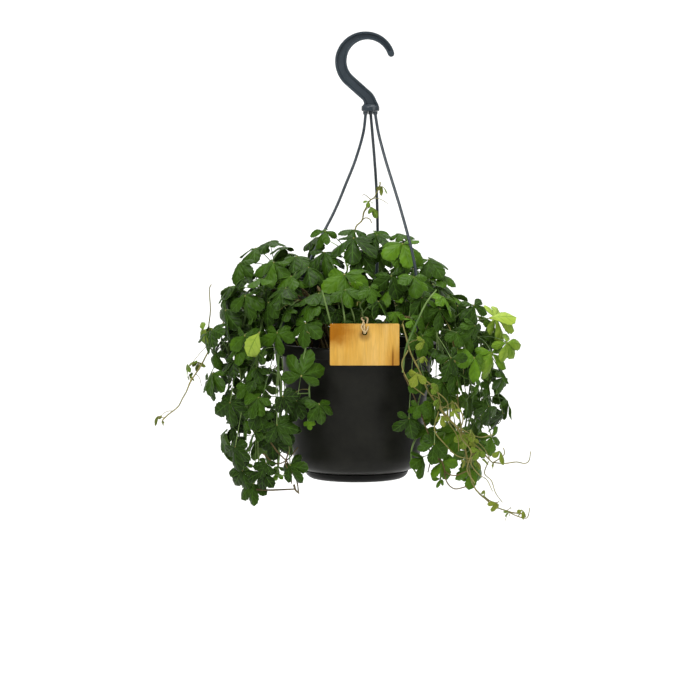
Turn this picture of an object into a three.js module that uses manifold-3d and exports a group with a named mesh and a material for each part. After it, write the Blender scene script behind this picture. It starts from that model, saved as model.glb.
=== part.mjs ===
// A miniature grape ivy in a plastic hanging pot, in millimetres, +Z up.
// The origin is the seat of the hook: the highest point inside its bow, from
// which the whole thing hangs. +X is to the right and -Y is towards the viewer.

import * as THREE from 'three';
import { mergeVertices } from 'three/addons/utils/BufferGeometryUtils.js';
import Module from 'manifold-3d';

const wasm = await Module();
wasm.setup();

// Driving dimensions. Everything below the hook is drawn in the pot's own frame,
// with the pot's axis at x = y = 0 and the top of its rim at z = 0.
const potAxisX = -10.7;       // the pot hangs a little to the left of the hook
const rimZ = -301.5;          // top of the rim below the hook's seat
const potHeight = 136;        // rim to the underside of the drip tray
const potSegments = 28;
const rim = { radius: 83, ledge: 2.2, skirt: 11, skirtWall: 1.4 };
const wall = { top: 76.2, bottom: 64, thickness: 2, bottomZ: -108 };
const foot = { radius: 49.3, z: -130, shoulderZ: -126.7 };
const tray = { base: 42, radius: 52, inner: 49.7, rimZ: -128, floor: 1.9, ribs: 12 };
const soilSurface = { z: -12, gap: 0.35 };
const lug = { radius: 78.6, hole: 2.05, angles: { left: 198, back: 78, right: -42 } };
const strand = { diameter: 3, flangeRadius: 5.2, sides: 6, steps: 12 };
const hook = {
  bowRadius: 25.5, bowX: -0.9, neckRadius: 14, neckZ: -65.5, neckX: -10.8, turn: 48,
  tipAngle: 18, neckWidth: 13, flare: 2.8, bowWidth: 11.5, seatWidth: 8, tipWidth: 6.6,
  depth: 9, rimWidth: 1.9, pocket: 2.8,
};
const flange = { x: 3, radius: 9, top: -65.9, bottom: -70.9 };
const tag = { width: 68, height: 41, thickness: 2, x: 7.7, back: -83.4, top: 25.4, hole: 2.5, holeDrop: 9 };
const tie = { radius: 0.7, sides: 4, steps: 20 };
const leafBlade = { thickness: 0.9, droop: 0.26, cup: 0.3, hub: 0.12 };
const petiole = { root: 0.65, tip: 0.55, sides: 3 };
const stemRadii = { vine: [1.7, 0.95], shoot: [1.2, 0.7] };   // at the root and the tip
const stemSides = 3;
const largeLeaf = 30;         // leaflets this long have their teeth cut as well
const holeDepth = 14;         // how deep a stem stands in the soil
const clearance = 1.4;        // kept between a blade and whatever it might cross
const stemGuard = 2.6;        // and round a stem, a stalk and a strand
const stalkGuard = 2;
const strandGuard = 3.2;
const up = new THREE.Vector3(0, 0, 1);

const materials = {
  pot: { color: 0x2b2b28, roughness: 0.3 },
  tray: { color: 0x1f1f1d, roughness: 0.35 },
  hanger: { color: 0x39434a, roughness: 0.5 },
  soil: { color: 0x3a2b1e, roughness: 0.95 },
  tag: { color: 0xdca64a, roughness: 0.6 },
  twine: { color: 0xcdb489, roughness: 0.9 },
  leaf: { color: 0x3f7a34, roughness: 0.45 },
  youngLeaf: { color: 0xa7ab3f, roughness: 0.5 },
};

function named(name, geometry, look) {
  const material = new THREE.MeshStandardMaterial({ metalness: 0, ...materials[look] });
  const mesh = new THREE.Mesh(geometry, material);
  mesh.name = name;
  return mesh;
}

function solidOf(geometry) {
  const bare = geometry.index ? geometry.toNonIndexed() : geometry.clone();
  bare.deleteAttribute('normal');
  bare.deleteAttribute('uv');
  const merged = mergeVertices(bare, 1e-4);
  const mesh = new wasm.Mesh({
    numProp: 3,
    vertProperties: new Float32Array(merged.attributes.position.array),
    triVerts: new Uint32Array(merged.index.array),
  });
  return new wasm.Manifold(mesh);
}

function geometryOf(solid) {
  const mesh = solid.getMesh();
  const geometry = new THREE.BufferGeometry();
  geometry.setAttribute('position', new THREE.BufferAttribute(new Float32Array(mesh.vertProperties), 3));
  geometry.setIndex(new THREE.BufferAttribute(new Uint32Array(mesh.triVerts), 1));
  geometry.computeVertexNormals();
  return geometry;
}

// A solid of revolution about Z from [radius, height] pairs, listed anticlockwise
// from the axis at the bottom.
function turned(profile, segments) {
  const points = profile.map(([radius, height]) => new THREE.Vector2(radius, height));
  return new THREE.LatheGeometry(points, segments).rotateX(Math.PI / 2);
}

function polar(radius, degrees, z) {
  const angle = THREE.MathUtils.degToRad(degrees);
  return new THREE.Vector3(radius * Math.cos(angle), radius * Math.sin(angle), z);
}

function cylinder(radius, bottom, top, sides, at) {
  const geometry = new THREE.CylinderGeometry(radius, radius, top - bottom, sides).rotateX(Math.PI / 2);
  return geometry.translate(at.x, at.y, (top + bottom) / 2);
}

function wallRadius(z) {
  const share = (z + rim.ledge) / (wall.bottomZ + rim.ledge);
  return wall.top + (wall.bottom - wall.top) * share;
}

function makePot() {
  const inner = wall.top - wall.thickness;
  const skirtInner = rim.radius - rim.skirtWall;
  const profile = [
    [0, foot.z], [foot.radius, foot.z], [foot.radius, foot.shoulderZ], [53.6, foot.shoulderZ],
    [58.2, -122], [62.2, -114], [wall.bottom, wall.bottomZ], [wall.top, -rim.ledge],
    [skirtInner, -rim.ledge], [skirtInner, -rim.skirt], [rim.radius - 0.4, -rim.skirt],
    [rim.radius, -1.8], [rim.radius - 1, 0], [inner, 0],
    [wall.bottom - wall.thickness, wall.bottomZ], [55.5, -122], [49, -128], [0, -128],
  ];
  let body = solidOf(turned(profile, potSegments));
  for (const angle of Object.values(lug.angles)) {
    const at = polar(lug.radius, angle, 0);
    body = body.subtract(solidOf(cylinder(lug.hole, -rim.ledge - 0.6, 1, 8, at)));
  }
  return geometryOf(body);
}

function makeTray() {
  const base = -potHeight;
  const profile = [
    [0, base], [tray.base, base], [46.8, base + 1.4], [50.3, base + 4.4], [tray.radius, tray.rimZ],
    [tray.inner, tray.rimZ], [tray.inner, base + 5.2], [45.6, base + tray.floor + 0.3],
    [0, base + tray.floor],
  ];
  let body = solidOf(turned(profile, potSegments));
  const ribTop = foot.shoulderZ - 0.3;
  const ribBottom = tray.rimZ - 0.6;
  for (let i = 0; i < tray.ribs; i += 1) {
    const rib = new THREE.BoxGeometry(1.7, 2.4, ribTop - ribBottom);
    rib.translate((tray.inner + tray.radius) / 2, 0, (ribTop + ribBottom) / 2);
    rib.rotateZ((i + 0.5) * 2 * Math.PI / tray.ribs);
    body = body.add(solidOf(rib));
  }
  return geometryOf(body);
}

// Soil up to a little below the rim, with a plain hole for each stem.
function makeSoil(holes) {
  const { z, gap } = soilSurface;
  const side = wall.thickness + gap;
  const profile = [
    [0, -128 + gap], [48.6, -128 + gap], [55, -121.8], [wall.bottom - side - 0.1, wall.bottomZ],
    [wallRadius(z) - side - 0.2, z], [40, z + 1.5], [0, z + 2.5],
  ];
  let body = solidOf(turned(profile, potSegments));
  for (const { x, y, radius } of holes) {
    const at = new THREE.Vector3(x, y, 0);
    body = body.subtract(solidOf(cylinder(radius, z - holeDepth, z + 8, 4, at)));
  }
  return geometryOf(body);
}

// The hook's centre line: a foot that flares into the flange, an arc off it, a
// straight, and the round bow. Each point is [x, z, width], and share runs from the flange to the tip.
function hookSpine() {
  const bowZ = -(hook.bowRadius - hook.seatWidth / 2);
  const spine = [[hook.neckX + hook.neckRadius, flange.top - 1, hook.neckWidth + hook.flare]];
  for (const degrees of [0, 24, hook.turn]) {
    const angle = THREE.MathUtils.degToRad(degrees);
    const x = hook.neckX + hook.neckRadius * Math.cos(angle);
    const z = hook.neckZ + hook.neckRadius * Math.sin(angle);
    spine.push([x, z, hook.neckWidth - (hook.neckWidth - hook.bowWidth) * degrees / hook.turn]);
  }
  const start = 180 + hook.turn;
  const steps = 13;
  for (let i = 0; i <= steps; i += 1) {
    const degrees = start - (start - hook.tipAngle) * i / steps;
    const angle = THREE.MathUtils.degToRad(degrees);
    const x = hook.bowX + hook.bowRadius * Math.cos(angle);
    const z = bowZ + hook.bowRadius * Math.sin(angle);
    spine.push([x, z, bowWidthAt(degrees)]);
  }
  return spine;
}

function bowWidthAt(degrees) {
  if (degrees > 170) return hook.bowWidth;
  if (degrees > 90) return THREE.MathUtils.mapLinear(degrees, 170, 90, hook.bowWidth, hook.seatWidth);
  return THREE.MathUtils.mapLinear(degrees, 90, hook.tipAngle, hook.seatWidth, hook.tipWidth);
}

// The outline that lies half a width, less an inset, to each side of the spine.
function ribbonShape(spine, inset) {
  const left = [];
  const right = [];
  spine.forEach(([x, z, width], i) => {
    const before = spine[Math.max(i - 1, 0)];
    const after = spine[Math.min(i + 1, spine.length - 1)];
    const run = new THREE.Vector2(after[0] - before[0], after[1] - before[1]).normalize();
    const half = width / 2 - inset;
    left.push(new THREE.Vector2(x - run.y * half, z + run.x * half));
    right.push(new THREE.Vector2(x + run.y * half, z - run.x * half));
  });
  return [left, right];
}

function plate(outline, thickness, y) {
  const shape = new THREE.Shape(outline);
  const options = { depth: thickness, bevelEnabled: false, curveSegments: 1 };
  return new THREE.ExtrudeGeometry(shape, options).rotateX(Math.PI / 2).translate(0, y + thickness / 2, 0);
}

function makeHook() {
  const spine = hookSpine();
  const [left, right] = ribbonShape(spine, 0);
  const [tipX, tipZ] = spine[spine.length - 1];
  const ahead = THREE.MathUtils.degToRad(hook.tipAngle - 90);
  const nose = [-30, 0, 30].map((degrees) => {
    const angle = ahead + THREE.MathUtils.degToRad(degrees);
    const reach = hook.tipWidth * 0.5;
    return new THREE.Vector2(tipX + reach * Math.cos(angle), tipZ + reach * Math.sin(angle));
  });
  let body = solidOf(plate([...right, ...nose, ...left.reverse()], hook.depth, 0));
  const [pocketLeft, pocketRight] = ribbonShape(spine.slice(1, -1), hook.rimWidth);
  const outline = [...pocketRight, ...pocketLeft.reverse()];
  for (const side of [-1, 1]) {
    const y = side * (hook.depth / 2 - hook.pocket / 2 + 0.5);
    body = body.subtract(solidOf(plate(outline, hook.pocket + 1, y)));
  }
  const disc = cylinder(flange.radius, flange.bottom, flange.top, 18, new THREE.Vector3(flange.x, 0, 0));
  return geometryOf(body.add(solidOf(disc)));
}

// Each strand leaves the flange straight down, bows outwards and ends upright in
// its rim hole. A pair is [share of the way out, share of the way down].
const strandBows = {
  left: [[0, 0], [0, 0.02], [0.03, 0.1], [0.12, 0.21], [0.23, 0.31], [0.37, 0.43], [0.61, 0.6],
    [0.82, 0.78], [0.99, 0.92], [1, 0.97]],
  back: [[0, 0], [0, 0.02], [0.05, 0.1], [0.17, 0.21], [0.31, 0.31], [0.47, 0.43], [0.7, 0.6],
    [0.88, 0.78], [0.99, 0.92], [1, 0.97]],
  right: [[0, 0], [0.01, 0.02], [0.09, 0.1], [0.26, 0.21], [0.44, 0.31], [0.65, 0.43], [0.91, 0.6],
    [1.03, 0.74], [1.01, 0.9], [1, 0.97]],
};
const backSway = 6;           // the back strand also bows sideways

function strandRoute(side) {
  const angle = lug.angles[side];
  const top = polar(strand.flangeRadius, angle, flange.bottom - 0.3 - rimZ);
  top.x += flange.x - potAxisX;
  const end = polar(lug.radius, angle, 0);
  const points = strandBows[side].map(([out, down]) => {
    const sway = side === 'back' ? backSway * Math.sin(Math.PI * down) : 0;
    const x = top.x + (end.x - top.x) * out + sway;
    const y = top.y + (end.y - top.y) * out;
    return new THREE.Vector3(x, y, top.z * (1 - down));
  });
  points.push(new THREE.Vector3(end.x, end.y, -4));
  return points;
}

function roundSection(radius, sides) {
  const points = [];
  for (let i = 0; i < sides; i += 1) {
    const angle = 2 * Math.PI * i / sides;
    points.push(new THREE.Vector2(radius * Math.cos(angle), radius * Math.sin(angle)));
  }
  return new THREE.Shape(points);
}

function smoothCurve(points) {
  return new THREE.CatmullRomCurve3(points, false, 'catmullrom', 0.5);
}

function makeStrand(side) {
  const section = roundSection(strand.diameter / 2, strand.sides);
  const extrudePath = smoothCurve(strandRoute(side));
  const rod = new THREE.ExtrudeGeometry(section, { steps: strand.steps, extrudePath, curveSegments: 1 });
  const barb = turned([[0, -8], [0.9, -7.5], [2.2, -3.6], [2.2, -2.6], [0, -2.6]], 6);
  const boss = turned([[0, 0.3], [2.7, 0.3], [2.7, 2], [1.7, 9], [0, 9]], 6);
  const at = polar(lug.radius, lug.angles[side], 0);
  let body = solidOf(rod);
  for (const piece of [barb, boss]) body = body.add(solidOf(piece.translate(at.x, at.y, 0)));
  return geometryOf(body);
}

function makeTag() {
  const half = tag.width / 2;
  const corner = 1.2;
  const bottom = tag.top - tag.height;
  const shape = new THREE.Shape();
  shape.moveTo(tag.x - half + corner, bottom);
  for (const [x, z] of [
    [half - corner, bottom], [half, bottom + corner], [half, tag.top - corner], [half - corner, tag.top],
    [corner - half, tag.top], [-half, tag.top - corner], [-half, bottom + corner],
  ]) shape.lineTo(tag.x + x, z);
  const hole = new THREE.Path().absarc(tag.x, tag.top - tag.holeDrop, tag.hole, 0, 2 * Math.PI, true);
  shape.holes.push(hole);
  const options = { depth: tag.thickness, bevelEnabled: false, curveSegments: 6 };
  return new THREE.ExtrudeGeometry(shape, options).rotateX(Math.PI / 2).translate(0, tag.back, 0);
}

// Twine through the hole, over the tag's top edge and round the stem behind it.
function tieRoute() {
  const { x } = tag;
  const front = tag.back - tag.thickness - 1.1;
  const behind = tag.back + 1.2;
  const holeZ = tag.top - tag.holeDrop;
  const list = [
    [x, tag.back - 1, holeZ], [x, front, holeZ + 2], [x - 0.4, front, tag.top - 2],
    [x - 1, tag.back - 1.6, tag.top + 2.2], [x - 2.8, -79.8, tag.top + 4.4], [x - 1, -75.2, tag.top + 5.2],
    [x + 2.8, -76.8, tag.top + 4.6], [x + 2.6, -81.6, tag.top + 1.4], [x + 0.5, behind, holeZ + 3],
    [x + 0.2, tag.back + 0.6, holeZ + 0.6],
  ];
  return list.map((point) => new THREE.Vector3(...point));
}

function makeTie() {
  const section = roundSection(tie.radius, tie.sides);
  const extrudePath = smoothCurve(tieRoute());
  const loop = new THREE.ExtrudeGeometry(section, { steps: tie.steps, extrudePath, curveSegments: 1 });
  const knot = new THREE.IcosahedronGeometry(1.45, 0);
  knot.translate(tag.x, tag.back - 0.4, tag.top - tag.holeDrop + 0.4);
  return geometryOf(solidOf(loop).add(solidOf(knot)));
}

// Plain repeatable random numbers, so that every run grows the same plant.
function seeded(seed) {
  let state = seed;
  return () => {
    state = (state * 16807) % 2147483647;
    return state / 2147483647;
  };
}

// A trailing stem: up from the soil, over the rim and down outside the pot.
// The angle is seen from above, 0 to the right and 270 towards the viewer.
function trailing(angle, lean, peak, reach, drop) {
  const high = peak * 0.6;
  return [
    polar(34, angle, soilSurface.z - holeDepth + 1), polar(34, angle, soilSurface.z + 8),
    polar(52, angle, peak * 0.7), polar(74, angle + lean * 0.3, peak),
    polar((74 + reach) / 2 + 4, angle + lean * 0.5, high + 6),
    polar(reach, angle + lean * 0.7, high * 0.35 + drop * 0.25), polar(reach - 2, angle + lean, drop),
  ];
}

// An upright stem that leans from its root to the place it is led to.
function upright(rootX, rootY, x, y, z) {
  return [
    new THREE.Vector3(rootX, rootY, soilSurface.z - holeDepth + 1),
    new THREE.Vector3(rootX, rootY, soilSurface.z + 8),
    new THREE.Vector3((rootX * 2 + x) / 3, (rootY * 2 + y) / 3, z * 0.45),
    new THREE.Vector3(x, y, z),
  ];
}

function ledBy(list) {
  return list.map((point) => new THREE.Vector3(...point));
}

// Every leafy stem: its route, how many leaves the rule sets on it, and their size.
const stems = [
  {
    name: 'vine_front_tag', steps: 7, leaves: 2, size: 20, tied: true,
    route: ledBy([[4, -56, -25], [4, -56, -14], [4, -57, -3], [6, -69, 14], [7.7, -78, 30], [5, -82, 48],
      [1, -80, 66]]),
  },
  { name: 'vine_front_left', steps: 7, route: trailing(238, 4, 30, 99, -70), leaves: 2, size: 22 },
  { name: 'vine_left_1', steps: 7, route: trailing(223, -2, 46, 103, -124), leaves: 2, size: 22 },
  { name: 'vine_left_2', steps: 7, route: trailing(209, 0, 58, 112, -132), leaves: 2, size: 24 },
  { name: 'vine_left_3', steps: 7, route: trailing(195, -2, 62, 120, -100), leaves: 1, size: 24 },
  { name: 'vine_left_4', steps: 7, route: trailing(181, 2, 54, 128, -66), leaves: 2, size: 23 },
  { name: 'vine_left_5', steps: 7, route: trailing(167, -3, 62, 118, -128), leaves: 3, size: 23 },
  { name: 'vine_back_left_1', steps: 7, route: trailing(152, 3, 52, 124, -90), leaves: 3, size: 24 },
  { name: 'vine_back_left_2', steps: 7, route: trailing(138, -3, 64, 112, -134), leaves: 3, size: 23 },
  { name: 'vine_back_1', steps: 7, route: trailing(123, 3, 50, 120, -78), leaves: 2, size: 24 },
  { name: 'vine_back_2', steps: 7, route: trailing(109, -3, 62, 108, -122), leaves: 2, size: 23 },
  { name: 'vine_back_3', steps: 7, route: trailing(94, 3, 48, 118, -96), leaves: 2, size: 24 },
  { name: 'vine_back_4', steps: 7, route: trailing(66, -3, 62, 110, -134), leaves: 2, size: 23 },
  { name: 'vine_back_right_1', steps: 7, route: trailing(51, 3, 40, 122, -84), leaves: 2, size: 24 },
  { name: 'vine_back_right_2', steps: 7, route: trailing(36, -3, 48, 114, -120), leaves: 3, size: 23 },
  { name: 'vine_right_1', steps: 7, route: trailing(21, 3, 36, 124, -92), leaves: 3, size: 23 },
  { name: 'vine_right_2', steps: 7, route: trailing(7, -2, 46, 118, -132), leaves: 3, size: 23 },
  { name: 'vine_right_3', steps: 7, route: trailing(353, 2, 40, 128, -84), leaves: 2, size: 22 },
  { name: 'vine_right_4', steps: 7, route: trailing(338, -2, 48, 120, -124), leaves: 1, size: 23 },
  { name: 'vine_right_5', steps: 7, route: trailing(326, -2, 46, 106, -130), leaves: 2, size: 22 },
  { name: 'vine_front_right', steps: 7, route: trailing(306, 2, 30, 98, -76), leaves: 2, size: 19 },
  { name: 'vine_top_front', steps: 4, route: upright(-16, -50, -16, -54, 66), leaves: 1, size: 23 },
  { name: 'vine_top_centre', steps: 4, route: upright(-4, -26, -6, -24, 96), leaves: 2, size: 26 },
  { name: 'vine_top_left', steps: 4, route: upright(-46, -20, -72, -28, 68), leaves: 2, size: 24 },
  { name: 'vine_top_far_left', steps: 4, route: upright(-52, 4, -84, 6, 82), leaves: 2, size: 24 },
  { name: 'vine_top_right', steps: 4, route: upright(28, -28, 42, -26, 88), leaves: 2, size: 24 },
  { name: 'vine_top_far_right', steps: 4, route: upright(54, -4, 74, -8, 62), leaves: 2, size: 23 },
  { name: 'vine_top_back', steps: 4, route: upright(-4, 42, -8, 52, 94), leaves: 2, size: 26 },
  { name: 'vine_top_back_left', steps: 4, route: upright(-36, 30, -50, 44, 82), leaves: 3, size: 25 },
  { name: 'vine_top_back_right', steps: 4, route: upright(32, 32, 48, 44, 80), leaves: 3, size: 25 },
  {
    name: 'shoot_left', leaves: 2, size: 10, young: true, steps: 11,
    route: ledBy([[-58, 14, -25], [-58, 14, -15], [-59, 14, -4], [-88, 14, 34], [-126, 8, 26], [-150, 2, -12],
      [-166, -4, -42], [-178, -6, -62], [-194, -8, -78]]),
  },
  {
    name: 'shoot_top', leaves: 2, size: 11, young: true, steps: 11,
    route: ledBy([[10, 6, -25], [10, 6, -15], [10, 6, -4], [4, 4, 50], [-2, 0, 106], [4, 0, 122],
      [12, -2, 138], [18, -2, 147], [25, -2, 160]]),
  },
  {
    name: 'shoot_right', leaves: 4, size: 15, young: true, steps: 11,
    route: ledBy([[34, -48, -25], [34, -48, -15], [34, -49, -4], [44, -72, 24], [52, -92, 2],
      [68, -90, -38], [90, -80, -68], [116, -66, -96], [136, -52, -116]]),
  },
  {
    name: 'shoot_low', leaves: 3, size: 11, young: true, steps: 11,
    route: ledBy([[48, -26, -25], [48, -26, -15], [49, -27, -4], [76, -40, 34], [96, -58, 4],
      [100, -62, -60], [112, -64, -128], [132, -58, -154], [150, -54, -164], [166, -52, -166]]),
  },
];

// The leaves that show in front, each on its own stem: the hub's place, the
// leaflets' length, the compass angle and rise of its face, and its turn.
const frontLeaves = [
  ['vine_front_left', -50, -91, -28, 30, 262, 2, 152],
  ['vine_front_left', -62, -85, -52, 21, 246, 15, -20],
  ['vine_front_left', -50, -86, 26, 23, 256, 30, -10],
  ['vine_left_1', -78, -78, 16, 22, 246, 18, 10],
  ['vine_left_1', -90, -66, -44, 22, 228, 20, 20],
  ['vine_left_1', -82, -71, -90, 24, 236, 12, -10],
  ['vine_left_1', -68, -76, -118, 22, 240, 8, 14],
  ['vine_left_2', -102, -52, -136, 24, 232, 25, -46],
  ['vine_left_2', -120, -56, -99, 24, 222, 4, 0],
  ['vine_left_3', -124, -50, -56, 26, 238, 15, -14],
  ['vine_left_2', -110, -66, 12, 25, 240, 12, 4],
  ['vine_left_3', -110, -52, 50, 26, 236, 28, 18],
  ['vine_left_3', -130, -30, 34, 28, 216, 18, -8],
  ['vine_left_4', -150, -12, 10, 20, 206, 20, 0],
  ['vine_left_4', -148, -16, -36, 22, 214, 10, 12],
  ['vine_top_left', -82, -36, 82, 26, 230, 56, 0],
  ['vine_top_far_left', -101, 0, 94, 26, 200, 60, 0],
  ['vine_top_centre', -3, -32, 106, 32, 264, 60, 0],
  ['vine_top_front', -12, -64, 72, 30, 266, 40, 0],
  ['vine_top_right', 45, -36, 100, 30, 286, 56, 0],
  ['vine_top_right', 34, -56, 70, 25, 278, 24, 8],
  ['vine_top_far_right', 72, -22, 84, 24, 304, 58, 16],
  ['vine_right_5', 82, -62, 38, 24, 298, 24, 0],
  ['vine_front_right', 66, -84, 14, 22, 288, 20, 0],
  ['vine_right_4', 110, -48, 12, 22, 300, 14, 0],
  ['vine_right_4', 116, -42, 40, 22, 312, 26, 0],
  ['vine_right_3', 138, -16, 26, 28, 300, 36, 78],
  ['vine_right_3', 134, -38, -8, 26, 306, 14, 0],
  ['vine_right_3', 146, -16, -34, 20, 324, 10, 0],
  ['vine_right_4', 128, -50, -58, 22, 306, 14, 0],
  ['vine_right_3', 146, -14, -70, 24, 334, 5, 0],
  ['vine_front_right', 50, -86, -66, 20, 284, 6, 0],
  ['vine_right_5', 86, -76, -34, 22, 296, 10, 0],
  ['vine_right_5', 100, -64, -84, 22, 300, 10, 0],
  ['vine_right_4', 116, -54, -122, 22, 302, 14, 0],
];

const leafKinds = {
  broad: { angles: [-118, -58, 0, 58, 118], lengths: [0.7, 0.92, 1, 0.92, 0.7], toothed: true },
  small: { angles: [-112, -56, 0, 56, 112], lengths: [0.68, 0.9, 1, 0.9, 0.68], toothed: false },
  young: { angles: [-62, 0, 62], lengths: [0.8, 1, 0.8], toothed: false },
};
const leafletEdge = {
  toothed: [[0.6, -0.27], [0.71, -0.19], [1, 0], [0.71, 0.19], [0.6, 0.27]],
  plain: [[0.6, -0.26], [1, 0], [0.6, 0.26]],
};

// The frame of a leaf: face is its normal, along is its middle leaflet.
function facing(azimuth, rise, turn) {
  const face = polar(1, azimuth, 0).multiplyScalar(Math.cos(THREE.MathUtils.degToRad(rise)));
  face.z = Math.sin(THREE.MathUtils.degToRad(rise));
  const along = up.clone().multiplyScalar(-1).addScaledVector(face, face.z).normalize();
  along.applyAxisAngle(face, THREE.MathUtils.degToRad(turn));
  return { face, along, side: along.clone().cross(face) };
}

function leafPoint(leaf, angle, length, along, across) {
  const turn = THREE.MathUtils.degToRad(angle);
  const reach = leaf.size * length;
  const forward = reach * (along * Math.cos(turn) - across * Math.sin(turn));
  const sideways = reach * (along * Math.sin(turn) + across * Math.cos(turn));
  const height = -reach * (leafBlade.droop * along * along + leafBlade.cup * Math.abs(across));
  return leaf.hub.clone().addScaledVector(leaf.along, forward).addScaledVector(leaf.side, sideways)
    .addScaledVector(leaf.face, height);
}

// The outline runs round the leaf: a notch before each leaflet, then its edge.
function leafOutline(leaf) {
  const { angles, lengths, toothed } = leafKinds[leaf.kind];
  const edge = toothed ? leafletEdge.toothed : leafletEdge.plain;
  return angles.map((angle, i) => {
    const notchAngle = i ? (angle + angles[i - 1]) / 2 : 180;
    const notch = leafPoint(leaf, notchAngle, 1, leafBlade.hub, 0);
    return [notch, ...edge.map(([along, across]) => leafPoint(leaf, angle, lengths[i], along, across))];
  });
}

// One thin arched blade: the leaflets are cut to the hub in a single outline.
// Each leaflet is a narrow middle, from its two notches to its tip, and two sides.
function bladeGeometry(leaf) {
  const leaflets = leafOutline(leaf);
  const top = leaflets.flat();
  const lift = leaf.face.clone().multiplyScalar(-leafBlade.thickness);
  const points = [...top, ...top.map((point) => point.clone().add(lift))];
  const count = top.length;
  const size = leaflets[0].length;
  const faces = [];
  const addBoth = (a, b, c) => faces.push(c, b, a, count + a, count + b, count + c);
  leaflets.forEach((_, i) => {
    const notch = i * size;
    const nextNotch = (notch + size) % count;
    const tip = notch + size / 2;
    addBoth(notch, tip, nextNotch);
    for (let j = notch + 1; j < tip; j += 1) addBoth(notch, j, j + 1);
    for (let j = tip; j < notch + size - 1; j += 1) addBoth(nextNotch, j, j + 1);
  });
  hubFaces(leaflets.length).forEach((face) => addBoth(...face.map((i) => i * size)));
  for (let i = 0; i < count; i += 1) {
    const next = (i + 1) % count;
    faces.push(i, next, count + i, next, count + next, count + i);
  }
  return meshed(points, faces);
}

// The small plate between the notches, whose back corner takes the stalk.
function hubFaces(leaflets) {
  const faces = [[0, 1, leaflets - 1]];
  for (let i = 2; i < leaflets - 1; i += 1) faces.push([1, i, i + 1]);
  return faces;
}

function meshed(points, faces) {
  const geometry = new THREE.BufferGeometry();
  const values = points.flatMap((point) => [point.x, point.y, point.z]);
  geometry.setAttribute('position', new THREE.Float32BufferAttribute(values, 3));
  geometry.setIndex(faces);
  return geometry;
}

// A round rod of changing radius through the points, closed at both ends.
function taperedRod(points, rootRadius, tipRadius, sides) {
  const rings = [];
  let side = new THREE.Vector3(0.31, 0.95, 0.05);
  points.forEach((point, i) => {
    const before = points[Math.max(i - 1, 0)];
    const after = points[Math.min(i + 1, points.length - 1)];
    const run = after.clone().sub(before).normalize();
    side = side.clone().addScaledVector(run, -side.dot(run)).normalize();
    const other = run.clone().cross(side);
    const radius = THREE.MathUtils.lerp(rootRadius, tipRadius, i / (points.length - 1));
    for (let j = 0; j < sides; j += 1) {
      const angle = 2 * Math.PI * j / sides;
      rings.push(point.clone().addScaledVector(side, radius * Math.cos(angle))
        .addScaledVector(other, radius * Math.sin(angle)));
    }
  });
  const faces = [];
  const last = (points.length - 1) * sides;
  for (let j = 2; j < sides; j += 1) faces.push(0, j, j - 1, last, last + j - 1, last + j);
  for (let i = 0; i < last; i += sides) {
    for (let j = 0; j < sides; j += 1) {
      const next = (j + 1) % sides;
      faces.push(i + j, i + next, i + sides + next, i + j, i + sides + next, i + sides + j);
    }
  }
  return meshed(rings, faces);
}

// The stalk leaves the stem's middle and meets the hub from behind the blade.
function petiolePoints(leaf) {
  const end = leaf.hub.clone().addScaledVector(leaf.face, -leafBlade.thickness * 0.5)
    .addScaledVector(leaf.along, -leaf.size * leafBlade.hub * 0.38);
  return [leaf.base, end];
}

// Clearances are tested on guards: flat triangles and edges that stand for a
// blade, with a short post at each corner, or for a stretch of a stalk or stem.
function guard(owner, triangles, edges) {
  const centre = new THREE.Vector3();
  const corners = [...triangles.flat(), ...edges.flat()];
  for (const corner of corners) centre.addScaledVector(corner, 1 / corners.length);
  const radius = Math.max(...corners.map((corner) => corner.distanceTo(centre)));
  return { owner, triangles, edges, centre, radius };
}

function bladeGuard(leaf) {
  const { angles, lengths } = leafKinds[leaf.kind];
  const post = leaf.face.clone().multiplyScalar(clearance);
  const triangles = [];
  const edges = [];
  const addPost = (point) => edges.push([point.clone().add(post), point.clone().sub(post).sub(post)]);
  addPost(leaf.hub);
  angles.forEach((angle, i) => {
    const tip = leafPoint(leaf, angle, lengths[i], 1, 0);
    const left = leafPoint(leaf, angle, lengths[i], 0.6, -0.27);
    const right = leafPoint(leaf, angle, lengths[i], 0.6, 0.27);
    triangles.push([leaf.hub, left, tip], [leaf.hub, tip, right]);
    edges.push([leaf.hub, left], [left, tip], [tip, right], [right, leaf.hub]);
    for (const point of [tip, left, right, leaf.hub.clone().lerp(tip, 0.5)]) addPost(point);
  });
  return guard(leaf.owner, triangles, edges);
}

function rodGuards(owner, points, radius) {
  const guards = [];
  for (let i = 0; i + 1 < points.length; i += 1) {
    const [from, to] = [points[i], points[i + 1]];
    const run = to.clone().sub(from).normalize();
    const first = new THREE.Vector3(0.31, 0.95, 0.05).cross(run).setLength(radius);
    const second = run.clone().cross(first);
    const triangles = [];
    const edges = [[from, to]];
    for (const width of [first, second]) {
      const [a, b] = [from.clone().add(width), from.clone().sub(width)];
      const [c, d] = [to.clone().sub(width), to.clone().add(width)];
      triangles.push([a, b, c], [a, c, d]);
      edges.push([a, d], [b, c]);
    }
    guards.push(guard(owner, triangles, edges));
  }
  return guards;
}

const work = { a: new THREE.Vector3(), b: new THREE.Vector3(), c: new THREE.Vector3(), d: new THREE.Vector3(),
  e: new THREE.Vector3(), f: new THREE.Vector3() };

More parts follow.
